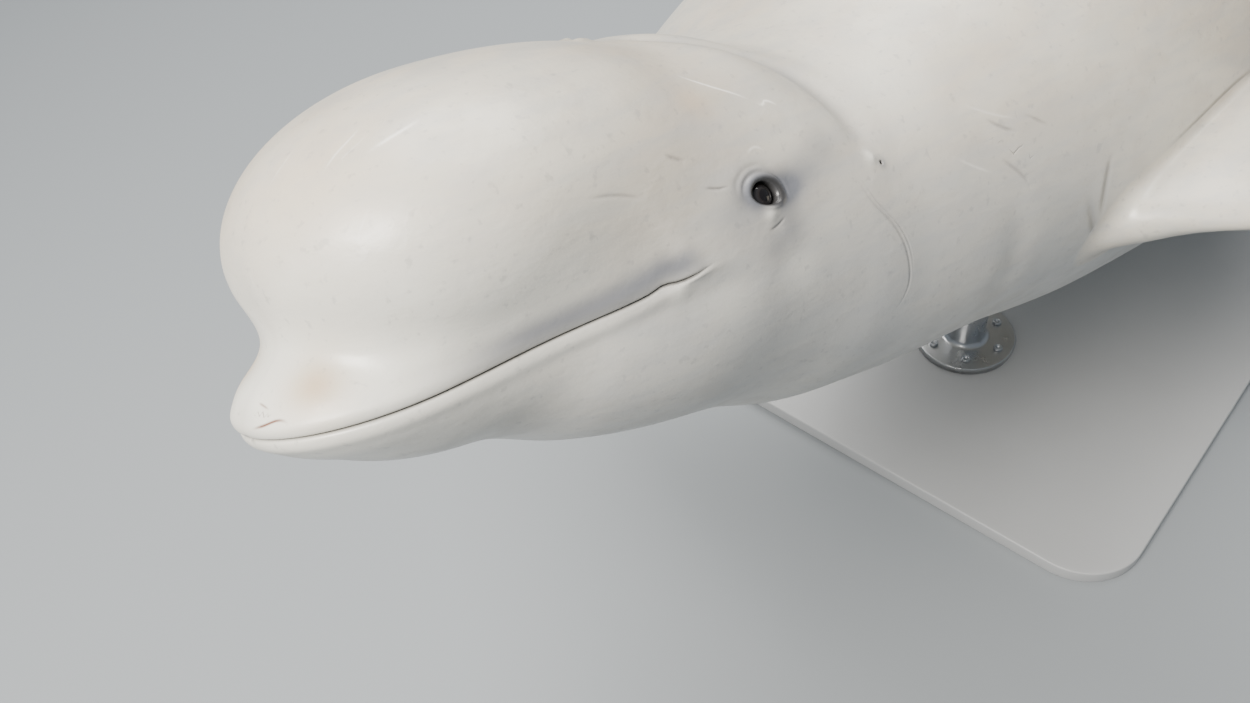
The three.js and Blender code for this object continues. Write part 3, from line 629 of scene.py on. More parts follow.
for side in (-1, 1):
    flip = np.array([1, -side, 1])
    border, rim = cut_window(back_grid, back_numbers, back_cells, root_middle * flip, root_half[0],
                             root_half[2])
    rim = rim * flip
    angle = even_angles(rim, root_middle, -chord, blade_up)
    start_reach = blade_leaves(angle)
    joint = flipper_point(start_reach, angle)
    tangent = np.roll(joint, -2, axis=0) - np.roll(joint, 2, axis=0)
    outward = np.cross(tangent, skin_normal(joint))
    outward *= np.sign(np.sum(outward * (joint - joint.mean(axis=0))))
    outward /= np.linalg.norm(outward, axis=-1, keepdims=True)
    fillet_size = (FILLET_BEHIND + (FILLET_AHEAD - FILLET_BEHIND) * (1 + np.cos(angle)) / 2)
    foot = on_skin(joint + outward * fillet_size[:, None])
    start_reach = start_reach + fillet_size
    t = (np.arange(1, FILLET_LOOPS + 1) / FILLET_LOOPS)[:, None, None]
    fillet = (1 - t) ** 2 * foot + 2 * t * (1 - t) * joint + t**2 * flipper_point(start_reach, angle)
    s = (1 - (1 - np.arange(1, BLADE_LOOPS + 1) / BLADE_LOOPS) ** 1.5)[:, None]
    blade = flipper_point(start_reach + (FLIPPER_LENGTH - start_reach) * s, angle)
    round_root = skin_between(rim, foot, ROOT_LOOPS, ROOT_CROWDING) * flip
    sew(border, [(round_root, True), (fillet * flip, False), (blade * flip, False)],
        blade[-1].mean(axis=0) * flip)


# The rest of the sheet's faces: those of its two grids, the snout's tip and the trailing edge, and
# the seam where each column of the trunk meets two of the head.

join_rows(head_numbers, head_cells)
join_rows(back_numbers, back_cells)
close_with_pole(head_numbers[0], int(tip_number[0]))
close_flat(back_numbers[-1], TRUNK_COLUMNS // 4)
ahead_ring = head_numbers[-1].reshape(TRUNK_COLUMNS, 2)
faces.extend(np.column_stack([ahead_ring, np.roll(ahead_ring[:, 0], -1),
                              np.roll(back_numbers[0], -1), back_numbers[0]]).tolist())


# Relief of the skin over the flesh: lips, lids, folds of blubber and the low ridge of the back.
# Most of it is the same on both sides, so it is worked out on the left one.

RIDGE_START, RIDGE_END, RIDGE_HEIGHT, RIDGE_HALF_WIDTH = 1.95, 2.70, 0.017, 0.013
LIP_HEIGHT, LIP_MIDDLE, LIP_HALF_WIDTH, LIP_END = 0.0018, 0.008, 0.006, (0.20, 0.28)
MOUTH_DEPTH, MOUTH_HALF_WIDTH, MOUTH_END = 0.0045, 0.0010, (0.262, 0.284)
NAPE_DEPTH, NAPE_HALF_WIDTH, NAPE_TAPER, RIDGE_FADE = 0.0070, 0.016, 0.05, 0.15
NAPE_FOLD = np.array([(405, 0, 190), (424, -60, 183), (456, -105, 165), (477, -150, 131), (482, -190, 92),
                      (474, -212, 50)]) / 1000
FLANK_FOLDS = [  # depth, half width and points of each fold, in millimetres
    (7, 45, [(1100, -360, -160), (1500, -360, -200), (2000, -310, -170), (2500, -210, -80)]),
    (5, 30, [(990, -300, -170), (1120, -300, -240), (1400, -280, -300)]),
    (3, 22, [(560, -225, 90), (600, -250, 20), (630, -255, -70), (640, -200, -160)]),
]
SOFT_FORMS = [  # height, place and size in millimetres: mouth's corner, lids, hollows and ear
    (1.6, 256, -178, 18, 8), (1.0, 270, -186, 40, 10), (1.8, 352, -194, 48, 7), (-0.8, 356, -197, 38, 6),
    (-2.2, 383, -197, 62, 12), (-1.0, 334, -190, 64, 10), (2.2, 474.5, -211, 56, 5.5),
]

LID_SWELLING = [  # height in millimetres, middle and half width as multiples of the opening
    (2.4, 0, 2.6), (-1.2, 1.0, 0.10), (0.8, 1.32, 0.17)]
UPPER_FOLD, BROW_FOLD = (-1.1, 1.66, 0.12), (-0.7, 2.15, 0.15)
UPPER_FROM, BROW_END, ON_TOP_ABOVE = (-0.004, 0.008), (0.004, 0.016), 0.1
BLOWHOLE_RIM, RIM_MIDDLE, RIM_HALF_WIDTH, RIM_FROM, RIM_TO = 0.0030, 0.007, 0.006, (0.340, 0.356), 0.45
BLOWHOLE_DIP, DIP_HALF_WIDTH = 0.0012, 0.003
RIDGE_BUMPS = [(0.22, 0.115, 0), (0.12, 0.074, 1)]  # share of its height, length, and where it starts


def smooth_line(line):
    """A smooth curve through points near the left side's skin, in short steps laid on it."""
    line = np.array(line)
    slopes = np.gradient(line, axis=0)
    at = np.linspace(0, len(line) - 1, 5 * (len(line) - 1) + 1)
    i = np.minimum(at.astype(int), len(line) - 2)
    return on_skin(cubic((at - i)[:, None], line[i], line[i + 1], slopes[i], slopes[i + 1]))


def beside_line(p, normal, line, taper):
    """Distance of skin points to one side of a curve over the skin, and how much of the curve is
    left there: 1 along it, falling to 0 over a length at its ends and beyond them."""
    curve = smooth_line(line)
    steps = np.diff(curve, axis=0)
    lengths = np.linalg.norm(steps, axis=-1)
    starts = np.concatenate([[0], np.cumsum(lengths)])
    nearest, aside, present = np.full(len(p), np.inf), np.zeros(len(p)), np.zeros(len(p))
    for start, way, length, passed in zip(curve, steps, lengths, starts):
        offset = p - start
        along = np.clip(offset @ way / length, 0, length)
        offset = offset - along[:, None] * way / length
        distance = np.linalg.norm(offset, axis=-1)
        closer = distance < nearest
        nearest = np.where(closer, distance, nearest)
        on_left = np.sum(offset * np.cross(normal, way), axis=-1) > 0
        aside = np.where(closer, np.where(on_left, distance, -distance), aside)
        passed = passed + along
        left = share(0, taper, passed) * share(0, taper, starts[-1] - passed)
        present = np.where(closer, left, present)
    return aside, present


def mounds(p, table):
    """Sum of soft round forms: height * exp(-r²), r being the distance from a place in sizes."""
    total = np.zeros(len(p))
    for height, x, y, z, size in table:
        away = (p - np.array([x, y, z]) / 1000) / (size / 1000)
        total += height * np.exp(-np.sum(away**2, axis=-1))
    return total


def lid_radius(p):
    """Distance from the middle of the eye's opening, as a multiple of the opening's own size."""
    point, _, along, upward = eye_frames[-1]
    a, b = (p - point) @ along, (p - point) @ upward
    return np.hypot(a / LID_LENGTH, b / np.where(b > 0, LID_ABOVE, LID_BELOW)), a, b


def band(distance, middle, half_width):
    """A soft stripe: exp(-d²), d being the distance from its middle in half widths."""
    return np.exp(-((distance - middle) / half_width) ** 2)


def skin_relief(p, normal):
    """Height of all the soft forms over the flesh."""
    x, h = p[:, 0], p[:, 2] - mouth_height(p[:, 0])
    height = -MOUTH_DEPTH * np.exp(-np.abs(h) / MOUTH_HALF_WIDTH) * (1 - share(*MOUTH_END, x))
    height += LIP_HEIGHT * band(np.abs(h), LIP_MIDDLE, LIP_HALF_WIDTH) * (1 - share(*LIP_END, x))
    height += mounds(p, SOFT_FORMS) / 1000
    r, a, b = lid_radius(p)
    above = share(*UPPER_FROM, b)
    folds = [(1, form) for form in LID_SWELLING]
    folds += [(above, UPPER_FOLD), (above * (1 - share(*BROW_END, a)), BROW_FOLD)]
    for where, (tall, middle, half_width) in folds:
        height += tall / 1000 * where * band(r, middle, half_width)
    slot = np.abs(np.hypot(x - BLOWHOLE_X + BLOWHOLE_RADIUS, p[:, 1]) - BLOWHOLE_RADIUS)
    round_slot = (p[:, 2] > ON_TOP_ABOVE) * share(*RIM_FROM, x) * (x < RIM_TO)
    height += round_slot * BLOWHOLE_RIM * band(slot, RIM_MIDDLE, RIM_HALF_WIDTH)
    height -= round_slot * BLOWHOLE_DIP * band(slot, 0, DIP_HALF_WIDTH)
    q = turned(p, NECK_BEND, -rise(NECK_BEND, x) - rise(TAIL_BEND, x))
    bumps = 1 + sum(s * np.sin(2 * np.pi * x / length + start) for s, length, start in RIDGE_BUMPS)
    on_ridge = share(RIDGE_START, RIDGE_START + RIDGE_FADE, x) * (q[:, 2] > ON_TOP_ABOVE)
    on_ridge *= 1 - share(RIDGE_END - RIDGE_FADE, RIDGE_END, x)
    height += RIDGE_HEIGHT * bumps / 1.2 * band(p[:, 1], 0, RIDGE_HALF_WIDTH) * on_ridge
    aside, present = beside_line(p, normal, NAPE_FOLD, NAPE_TAPER)
    height -= NAPE_DEPTH * present * band(aside, 0, NAPE_HALF_WIDTH)
    for depth, half_width, line in FLANK_FOLDS:
        aside, present = beside_line(p, normal, np.array(line) / 1000, 0.10)
        height -= depth / 1000 * present * band(aside, 0, half_width / 1000)
    return height


base_points = np.concatenate(points)
flesh = np.concatenate(on_flesh)
left_points = base_points.copy()
left_points[:, 1] = -np.abs(base_points[:, 1])
left_normals = np.tile([0.0, 0.0, 1.0], (len(base_points), 1))
left_normals[flesh] = skin_normal(left_points[flesh])
relief = np.zeros(len(base_points))
relief[flesh] = skin_relief(left_points[flesh], left_normals[flesh])
normals = left_normals * np.where(base_points[:, 1:2] > 0, [1, -1, 1], 1)
skin_points = on_stand(base_points + normals * relief[:, None])


# Marks of the skin: creases, scars and stains. Each point of the skin keeps its distance aside of
# the nearest one, in units of the mark's half width, how deep the mark is there, and how dark. The
# darkness of a crease is painted shade in it.

MARK_REACH, MARK_TAPER = 0.04, 0.35
FADE_WIDTH, FADE_ON_HEAD, FADE_ON_TRUNK = 0.006, 0.006, 0.013

# The crease above and behind a flipper's root runs along the foot of its fillet. Its darkness is a
# painted shadow where the blade lies close against the flank.
root_line = foot[np.nonzero((np.cos(angle) < 0.2) & (np.sin(angle) > -0.35))[0]]
# The darkness of each crease is painted shade in its groove.
CREASES = [  # half width and depth (mm), darkness, whether on both sides, and points (mm)
    (1.5, 0.6, 0.24, True, [(447, -209, 52), (458, -217, 23), (477, -222, -4), (488, -223, -29),
         (493, -219, -58), (487, -212, -77), (474, -202, -88)]),
    (1.2, 0.8, 0.35, True, [(303, -179, 83), (315, -182, 79), (324, -184, 78)]),
    (1.8, 0.7, 0.35, False, [(281, -168, 115), (290, -170, 109), (298, -172, 105)]),
    (1.5, 0.4, 0.22, False, [(200, -165, 108), (226, -169, 102), (250, -172, 92)]),
    (1.2, 0.7, 0.35, True, [(345, -195, 36), (355, -197, 37), (366, -197, 41)]),
    (1.6, 0.9, 0.40, True, [(607, -248, 50), (620, -257, 38), (634, -260, 30)]),
    (1.6, 0.8, 0.35, True, [(609, -257, 14), (630, -265, -8), (640, -266, -24)]),
    (1.5, 0.6, 0.30, False, [(647, -265, 42), (658, -270, 34), (669, -276, 25)]),
    (4.5, 2.4, 0.30, True, [(715, -283, -50), (735, -285, -85), (765, -280, -125),
         (810, -270, -160)]),
    (3.0, 2.0, 0.50, True, 1000 * root_line[::max(1, len(root_line) // 7)]),
    (5.0, 2.5, 0.40, True, [(2560, -2, -300), (2640, -2, -280), (2720, -2, -260)]),
    (3.0, 2.0, 0.40, True, [(2790, -2, -240), (2815, -2, -235), (2840, -2, -230)]),
    (3.0, 2.0, 0.35, True, [(1880, -2, -400), (1900, -2, -400), (1920, -2, -400)]),
]
TWIN_CREASES = [  # the same, for marks that lie close beside others
    (1.2, 0.4, 0.14, True, [(452, -210, 50), (463, -217, 22), (482, -222, -5), (493, -222, -30),
         (498, -218, -58)]),
    (4.0, 2.0, 0.30, True, [(745, -300, -20), (742, -295, -60), (752, -288, -95)]),
]
SCARS = [  # the same, paler than the skin and raised
    (1.6, 0.25, 1.0, False, [(103, -83, 171), (118, -90, 177), (131, -94, 180), (142, -96, 183)]),
    (0.9, 0.12, 0.6, False, [(80, -62, 166), (92, -63, 175), (106, -65, 182), (116, -64, 186)]),
    (1.0, 0.15, 0.8, False, [(358, -122, 161), (365, -130, 154), (377, -143, 144), (390, -154, 134),
         (399, -163, 125)]),
    (1.0, 0.15, 0.8, False, [(400, -164, 124), (404, -167, 120), (409, -166, 123), (414, -169, 120),
         (417, -173, 116)]),
    (1.0, 0.10, 0.35, False, [(84, -101, 145), (68, -96, 125), (70, -101, 116), (61, -90, 108)]),
    (0.8, 0.08, 0.30, False, [(20, -10, 130), (17, -10, 115), (16, -12, 98)]),
    (0.9, 0.08, 0.30, False, [(50, -20, 176), (66, -22, 186), (85, -24, 194)]),
    (1.1, 0.10, 0.40, False, [(356, -181, 94), (368, -180, 96), (376, -183, 91)]),
    (1.2, 0.10, 0.35, False, [(560, -240, 30), (575, -244, 18), (600, -254, 2)]),
    (1.2, 0.10, 0.30, False, [(590, -236, 70), (615, -250, 52), (640, -262, 40)]),
    (1.6, 0.12, 0.40, False, [(1300, -200, 240), (1380, -210, 240), (1450, -190, 260)]),
    (1.4, 0.12, 0.35, True, [(1650, -330, 50), (1720, -335, 20), (1800, -335, 10)]),
    (1.4, 0.12, 0.35, True, [(2150, -230, 160), (2230, -220, 160), (2300, -225, 140)]),
]
SORES = [  # the same, for the small brown sore on the snout
    (0.9, -0.5, 1.0, False, [(-4, -12, 17.5), (-1, -24, 20), (4, -34, 22.5), (7, -40, 21.5),
         (8, -43, 18.5)]),
    (0.7, -0.4, 0.6, False, [(4, -13, 34), (5, -20, 31), (6, -26, 28)]),
]


def nearest_marks(marks):
    """For every point, distance aside, depth and darkness of the mark that counts most there."""
    found = np.tile([99.0, 0, 0], (len(base_points), 1))
    for half_width, depth, darkness, on_both, line in marks:
        line = np.array(line) / 1000
        reach = MARK_REACH + np.linalg.norm(np.ptp(line, axis=0)) / 2
        near = flesh & (np.linalg.norm(left_points - np.mean(line, axis=0), axis=-1) < reach)
        near &= on_both | (base_points[:, 1] <= 0)
        taper = MARK_TAPER * np.linalg.norm(np.diff(line, axis=0), axis=-1).sum()
        aside, present = beside_line(left_points[near], left_normals[near], line, taper)
        on_head = left_points[near, 0] < HEAD_SPACING[-1, 0]
        fade_from = np.where(on_head, FADE_ON_HEAD, FADE_ON_TRUNK)
        present = present * (1 - share(fade_from, fade_from + FADE_WIDTH, np.abs(aside)))
        aside = aside / (half_width / 1000)
        closer = (np.abs(aside) < np.abs(found[near, 0]))[:, None]
        mark = np.stack([aside, present * depth, present * darkness], axis=-1)
        found[near] = np.where(closer, mark, found[near])
    return found


# Shades of the skin, mostly painted light and shade: painted shade in cool grey below, painted shade
# in slate along the lips, round the eyes, in the ear's pit, along the nape's fold and on the sides of
# the head, painted light that makes beak, brow and small bumps whitest, a pink tint here and there,
# painted shade in nearly black linings, in the mouth's line and on the lids' edges, and grey on the
# trailing edge of the flukes.

# Painted shade in slate round, behind and below the eye, in the ear's pit and on the head's sides.
SLATE_SHADE_PATCHES = [  # strength, place and size in millimetres
    (0.75, 384, -197, 60, 13), (0.50, 402, -198, 66, 19), (0.42, 430, -199, 78, 20),
    (0.55, 368, -200, 30, 17), (0.35, 346, -198, 22, 13), (0.36, 318, -189, 58, 24),
    (0.70, 485, -214, 47, 5), (0.22, 345, -165, 110, 50), (0.25, 440, -150, 130, 50),
]
# Painted light: whiter where light falls, on snout, beak and brow, cheeks, neck and back, the lower lid's
# pad, and the bumps at the mouth's corner and before the ear.
PALE_LIGHT_PATCHES = [
    (1.00, 60, -50, 60, 80), (0.70, 150, -130, 65, 70), (0.80, 352, -194, 47, 6),
    (0.50, 370, -201, -2, 20), (0.35, 300, -190, -2, 28), (0.60, 540, -190, 110, 60),
    (0.60, 60, -80, 90, 50), (0.80, 20, -30, 30, 40), (0.60, 800, -150, 240, 150),
    (0.80, 474.5, -211, 57, 5), (0.60, 256, -178, 20, 8),
]
BLUSH_PATCHES = [(0.90, 30, -50, 36, 22), (0.35, 60, -60, 160, 60), (0.50, 345, -148, 138, 18)]
# Lit pad under the eye, from which the painted slate shade is lifted.
LIT_PAD_UNDER_EYE = [(0.8, 351, -194, 47, 8)]
COOL_BELOW, COOL_SIDES, COOL_FINS = 0.95, (-0.05, 0.14), 0.35
WARM_REAR, REAR_FROM = 0.55, (0.9, 1.6)
LIP_SLATE, SLATE_MIDDLE, SLATE_HALF_WIDTH, SLATE_FROM = 0.90, 0.012, 0.010, (0.06, 0.16)
EYE_SLATE, EYE_SLATE_WIDTH, NAPE_SLATE, NAPE_SLATE_WIDTH = 0.90, 1.1, 0.30, 0.018
MOUTH_DARK, MOUTH_DARK_WIDTH, LID_DARK_LENGTH = 0.85, 0.0009, 0.03
LID_EDGE, LID_EDGE_WIDTH, REAR_EDGE_OUT, REAR_EDGE_WIDER = 1.0, 0.24, 0.14, 0.16
HEAD_LININGS_TO, FIN_EDGE_WIDTH, FIN_EDGE_FROM = 0.6, 0.05, 3.7

back_x = left_points[:, 0]
side_height = left_points[:, 2] - np.interp(back_x, TRUNK[:, 0], TRUNK[:, 1:3].mean(axis=1))
mouth_gap = left_points[:, 2] - mouth_height(back_x)
before_corner = 1 - share(*MOUTH_END, back_x)
lid_r, lid_a, _ = lid_radius(left_points)
nape_aside, nape_present = beside_line(left_points, left_normals, NAPE_FOLD, NAPE_TAPER)

# Painted shade: cool grey on the lower sides and belly, less towards the tail and on the fins.
shade_below = COOL_BELOW * (1 - share(*COOL_SIDES, side_height)) * (1 - WARM_REAR * share(*REAR_FROM, back_x))
shade_below *= np.where(flesh, 1, COOL_FINS)
# Painted shade in slate along the lips, round the eyes and in the nape's fold, lifted from the lit pad
# under the eye.
slate_shade = LIP_SLATE * band(mouth_gap, SLATE_MIDDLE, SLATE_HALF_WIDTH) * share(*SLATE_FROM, back_x)
slate_shade = slate_shade * before_corner + EYE_SLATE * band(lid_r, 1, EYE_SLATE_WIDTH)
slate_shade += mounds(left_points, SLATE_SHADE_PATCHES)
slate_shade += NAPE_SLATE * nape_present * band(nape_aside, 0, NAPE_SLATE_WIDTH) * flesh
slate_shade *= 1 - mounds(left_points, LIT_PAD_UNDER_EYE)
# Painted light where light falls, and a pink tint of the skin's own.
pale_light, blush = mounds(left_points, PALE_LIGHT_PATCHES), mounds(left_points, BLUSH_PATCHES)
# Painted shade: a dark line in the mouth's groove, dark edges and inner walls of the lids, and nearly
# black linings of the eye sockets, ear pits and blowhole.
mouth_line_shade = MOUTH_DARK * band(mouth_gap, 0, MOUTH_DARK_WIDTH) * before_corner
rearwards = np.clip((back_x - eye_frames[-1][0][0]) / LID_LENGTH, 0, 1)
lid_edge_shade = band(lid_r, LID_EDGE + REAR_EDGE_OUT * rearwards, LID_EDGE_WIDTH + REAR_EDGE_WIDER * rearwards)
dark_shade = np.maximum(mouth_line_shade, lid_edge_shade * (np.abs(lid_a) < LID_DARK_LENGTH)) * flesh
dark_shade = np.where(~flesh & (back_x < HEAD_LININGS_TO), 1, dark_shade)
ahead_of_edge = trailing_edge(np.abs(base_points[:, 1]) / FLUKE_SPAN) - back_x
fin_edge = (1 - share(0.0, FIN_EDGE_WIDTH, ahead_of_edge)) * (back_x > FIN_EDGE_FROM)
# The shade attribute holds painted shade below, painted slate shade and painted light; the stain one holds
# painted dark shade, a pink tint and the grey of the flukes' edge.
skin_marks = {
    "crease": nearest_marks(CREASES), "twin_crease": nearest_marks(TWIN_CREASES),
    "scar": nearest_marks(SCARS), "sore": nearest_marks(SORES),
    "shade": np.clip(np.stack([shade_below, slate_shade, pale_light], axis=-1), 0, 1),
    "painted_dark_and_stain": np.clip(np.stack([dark_shade, blush, fin_edge], axis=-1), 0, 1),
}


def closed_mesh(name, vertices, marks=None):
    """A smooth object of points and the collected faces, without the points that no face uses.
    Marks are kept as attributes, three values to a point. The collection of faces is then empty."""
    used = np.zeros(len(vertices), bool)
    used[np.concatenate([np.array(face) for face in faces])] = True
    number = np.cumsum(used) - 1
    mesh = bpy.data.meshes.new(name)
    mesh.from_pydata(vertices[used].tolist(), [], [number[face].tolist() for face in faces])
    faces.clear()
    facing = bmesh.new()
    facing.from_mesh(mesh)
    bmesh.ops.recalc_face_normals(facing, faces=facing.faces)
    facing.to_mesh(mesh)
    facing.free()
    mesh.polygons.foreach_set("use_smooth", np.ones(len(mesh.polygons), bool))
    for mark, values in (marks or {}).items():
        attribute = mesh.attributes.new(mark, "FLOAT_VECTOR", "POINT")
        attribute.data.foreach_set("vector", values[used].astype(np.float32).ravel())
    piece = bpy.data.objects.new(name, mesh)
    bpy.context.scene.collection.objects.link(piece)
    return piece


skin = closed_mesh("whale_skin", skin_points, skin_marks)
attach(skin, "root")
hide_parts("head", "lower_jaw", "neck", "torso", "tail_stock", "dorsal_ridge",
            "fluke_left", "fluke_right", "flipper_left", "flipper_right")


# Finish of the skin: cream-white, tan and grey in soft clouds under the marks and the painted light
# and shade above, satin and moist, with fine wrinkles. Its patterns lie in the whale's own frame.

# The pale colour is painted light; the slate, crease grey and lining colours and the cool grey are painted
# shade, and slate and cool grey also tint freckles and streaks.
CREAM, TAN, COOL_SHADE_AND_STREAKS = (0.63, 0.59, 0.50, 1), (0.50, 0.43, 0.34, 1), (0.41, 0.425, 0.435, 1)
SLATE_SHADE_AND_FRECKLES, PALE_LIGHT, BLUSH = (0.165, 0.170, 0.188, 1), (0.80, 0.78, 0.70, 1), (0.60, 0.46, 0.31, 1)
SCAR_WHITE, CREASE_SHADE, FIN_GREY = (0.86, 0.83, 0.76, 1), (0.14, 0.125, 0.125, 1), (0.28, 0.275, 0.275, 1)
LINING_SHADE, SORE_BROWN = (0.035, 0.034, 0.034, 1), (0.20, 0.075, 0.04, 1)


def feed(tree, target, inputs):
    """Joins outputs to a node's inputs, or sets the inputs that are given as plain values."""
    for name, source in inputs.items():
        if isinstance(source, bpy.types.NodeSocket):
            tree.links.new(source, target.inputs[name])
        else:
            target.inputs[name].default_value = source


def node(tree, kind, place_on_sheet, inputs=None, **settings):
    """A new node of a tree, with its settings and then its inputs."""
    made = tree.nodes.new(kind)
    made.location = place_on_sheet
    for setting, value in settings.items():
        setattr(made, setting, value)
    feed(tree, made, inputs or {})
    return made


def maths(tree, operation, *values, at=(0, 0), clamp=False):
    """Output of a math node."""
    return node(tree, "ShaderNodeMath", at, dict(enumerate(values)), operation=operation,
                use_clamp=clamp).outputs[0]


def blended(tree, factor, a, b, at):
    """Output of a colour mix."""
    return node(tree, "ShaderNodeMix", at, {0: factor, 6: a, 7: b}, data_type="RGBA").outputs[2]


def bumped(tree, height, strength, distance):
    """Normal of a surface raised by a height."""
    return node(tree, "ShaderNodeBump", (-200, -200), {
        "Height": height, "Strength": strength, "Distance": distance}).outputs[0]


def new_finish(name):
    """A new material, its tree and its shader."""
    finish = bpy.data.materials.new(name)
    finish.use_nodes = True
    return finish, finish.node_tree, finish.node_tree.nodes["Principled BSDF"]


def new_group(name, vectors, floats, results):
    """An empty node group with its sockets, the outputs of its input node, and its output node."""
    group = bpy.data.node_groups.new(name, "ShaderNodeTree")
    for socket in vectors:
        group.interface.new_socket(socket, in_out="INPUT", socket_type="NodeSocketVector")
    for socket in floats:
        group.interface.new_socket(socket, in_out="INPUT", socket_type="NodeSocketFloat")
    for socket in results:
        group.interface.new_socket(socket, in_out="OUTPUT", socket_type="NodeSocketFloat")
    return (group, node(group, "NodeGroupInput", (-900, 0)).outputs,
            node(group, "NodeGroupOutput", (500, 0)))


def cloud_group():
    """Group for soft clouds: noise stretched by a scale per axis, spread between two levels."""
    group, given, result = new_group("skin_clouds", ("Vector", "Stretch"), ("Detail", "Low", "High"),
                                     ("Cloud",))
    scaled = node(group, "ShaderNodeVectorMath", (-700, 0), {0: given["Vector"], 1: given["Stretch"]},
                  operation="MULTIPLY")
    noise = node(group, "ShaderNodeTexNoise", (-500, 0), {
        "Vector": scaled.outputs[0], "Scale": 1, "Detail": given["Detail"]})
    spread = node(group, "ShaderNodeMapRange", (-200, 0), {
        "Value": noise.outputs[0], "From Min": given["Low"], "From Max": given["High"]},
        interpolation_type="SMOOTHSTEP")
    feed(group, result, {"Cloud": spread.outputs[0]})
    return group


def mark_group():
    """Group for a mark: its profile exp(-distance²), times its depth in millimetres and darkness,
    which in a crease is painted shade.
    """
    group, given, result = new_group("skin_mark", ("Mark",), (), ("Height", "Shade"))
    parts = node(group, "ShaderNodeSeparateXYZ", (-700, 0), {0: given["Mark"]}).outputs
    square = maths(group, "MULTIPLY", parts[0], parts[0], at=(-500, 100))
    negative = maths(group, "MULTIPLY", square, -1.0, at=(-320, 100))
    profile = maths(group, "EXPONENT", negative, at=(-140, 100))
    feed(group, result, {"Height": maths(group, "MULTIPLY", profile, parts[1], at=(60, 80)),
                         "Shade": maths(group, "MULTIPLY", profile, parts[2], at=(60, -80))})
    return group


clouds, mark_profile = cloud_group(), mark_group()


def cloudy(tree, vector, stretch, detail, low, high, at):
    """Output of the clouds' group, for a number of clouds per metre on each axis."""
    return node(tree, "ShaderNodeGroup", at, {
        "Vector": vector, "Stretch": stretch, "Detail": detail, "Low": low, "High": high},
        node_tree=clouds).outputs[0]


skin_finish, tree, shader = new_finish("beluga_skin")
whale = node(tree, "ShaderNodeMapping", (-2400, 200), {
    "Vector": node(tree, "ShaderNodeTexCoord", (-2600, 200)).outputs["Object"],
    "Location": -turn.T @ place, "Rotation": Matrix(turn.T.tolist()).to_euler("XYZ")}).outputs[0]


def from_skin(name, row):
    """Output of an attribute of the skin's points."""
    return node(tree, "ShaderNodeAttribute", (-2400, row), attribute_name=name).outputs["Vector"]


def times(a, b):
    """Product of two values in the skin's tree."""
    return maths(tree, "MULTIPLY", a, b)


# Painted shade below, painted slate shade and painted light; painted dark shade, pink tint and the grey of
# the flukes' edge.
shade_below_at, slate_shade_at, pale_light_at = node(tree, "ShaderNodeSeparateXYZ", (-2200, -200),
                                  {0: from_skin("shade", -200)}).outputs
dark_shade_at, blush_at, edge_at = node(tree, "ShaderNodeSeparateXYZ", (-2200, -400),
                                  {0: from_skin("painted_dark_and_stain", -400)}).outputs
crease, twin, scar, sore = (
    node(tree, "ShaderNodeGroup", (-1900, row), {"Mark": from_skin(mark, row)},
         node_tree=mark_profile).outputs
    for mark, row in (("crease", -600), ("twin_crease", -750), ("scar", -900), ("sore", -1050)))
wide, patchy, streaks, grain, freckles, ripples = (
    cloudy(tree, whale, stretch, detail, low, high, (-2000, row)) for stretch, detail, low, high, row in (
        ((5, 7, 9), 3.0, 0.35, 0.70, 900), ((22, 26, 34), 4.0, 0.42, 0.66, 700),
        ((14, 40, 90), 3.0, 0.40, 0.68, 500), ((420, 420, 420), 2.0, 0.30, 0.70, 300),
        ((130, 130, 130), 3.0, 0.60, 0.74, 100), ((60, 80, 190), 4.0, 0.25, 0.75, -50)))

tanned = times(times(wide, 0.70), maths(tree, "SUBTRACT", 1.0, shade_below_at))
shaded_below = times(shade_below_at, maths(tree, "MULTIPLY_ADD", wide, 0.25, 0.5))
crease_shading = maths(tree, "ADD", crease["Shade"], twin["Shade"], clamp=True)
# Layers over cream: tan clouds, painted shade below, grey streaks, painted light, a pink tint, painted
# slate shade, freckles, grey fin edges, painted crease shade, scars, the sore, and painted black shade in
# the mouth's line, on the lids' edges and in the linings.
colour = CREAM
for step, (factor, tint) in enumerate((
        (tanned, TAN), (times(patchy, 0.30), TAN), (shaded_below, COOL_SHADE_AND_STREAKS), (times(streaks, 0.26), COOL_SHADE_AND_STREAKS),
        (pale_light_at, PALE_LIGHT), (blush_at, BLUSH), (slate_shade_at, SLATE_SHADE_AND_FRECKLES), (times(freckles, 0.22), SLATE_SHADE_AND_FRECKLES),
        (times(edge_at, 0.7), FIN_GREY), (crease_shading, CREASE_SHADE), (scar["Shade"], SCAR_WHITE),
        (sore["Shade"], SORE_BROWN), (dark_shade_at, LINING_SHADE))):
    colour = blended(tree, factor, colour, tint, (150 * step - 1500, 800))
height = times(grain, 0.020)
for part in (times(ripples, 0.06), times(patchy, 0.25), scar["Height"], sore["Height"]):
    height = maths(tree, "ADD", height, part)
height = maths(tree, "SUBTRACT", height, maths(tree, "ADD", crease["Height"], twin["Height"]))
feed(tree, shader, {
    "Base Color": colour, "Normal": bumped(tree, height, 1, 0.001), "Coat Weight": 0.18,
    "Roughness": maths(tree, "MULTIPLY_ADD", patchy, 0.14, 0.34), "Coat Roughness": 0.22})
skin.data.materials.append(skin_finish)


# Eyeballs: wet dark balls behind the lids, with the cornea's slight bulge in front, a wide pupil
# and a nearly black iris with fine brown spokes. Each looks straight out of its lids.

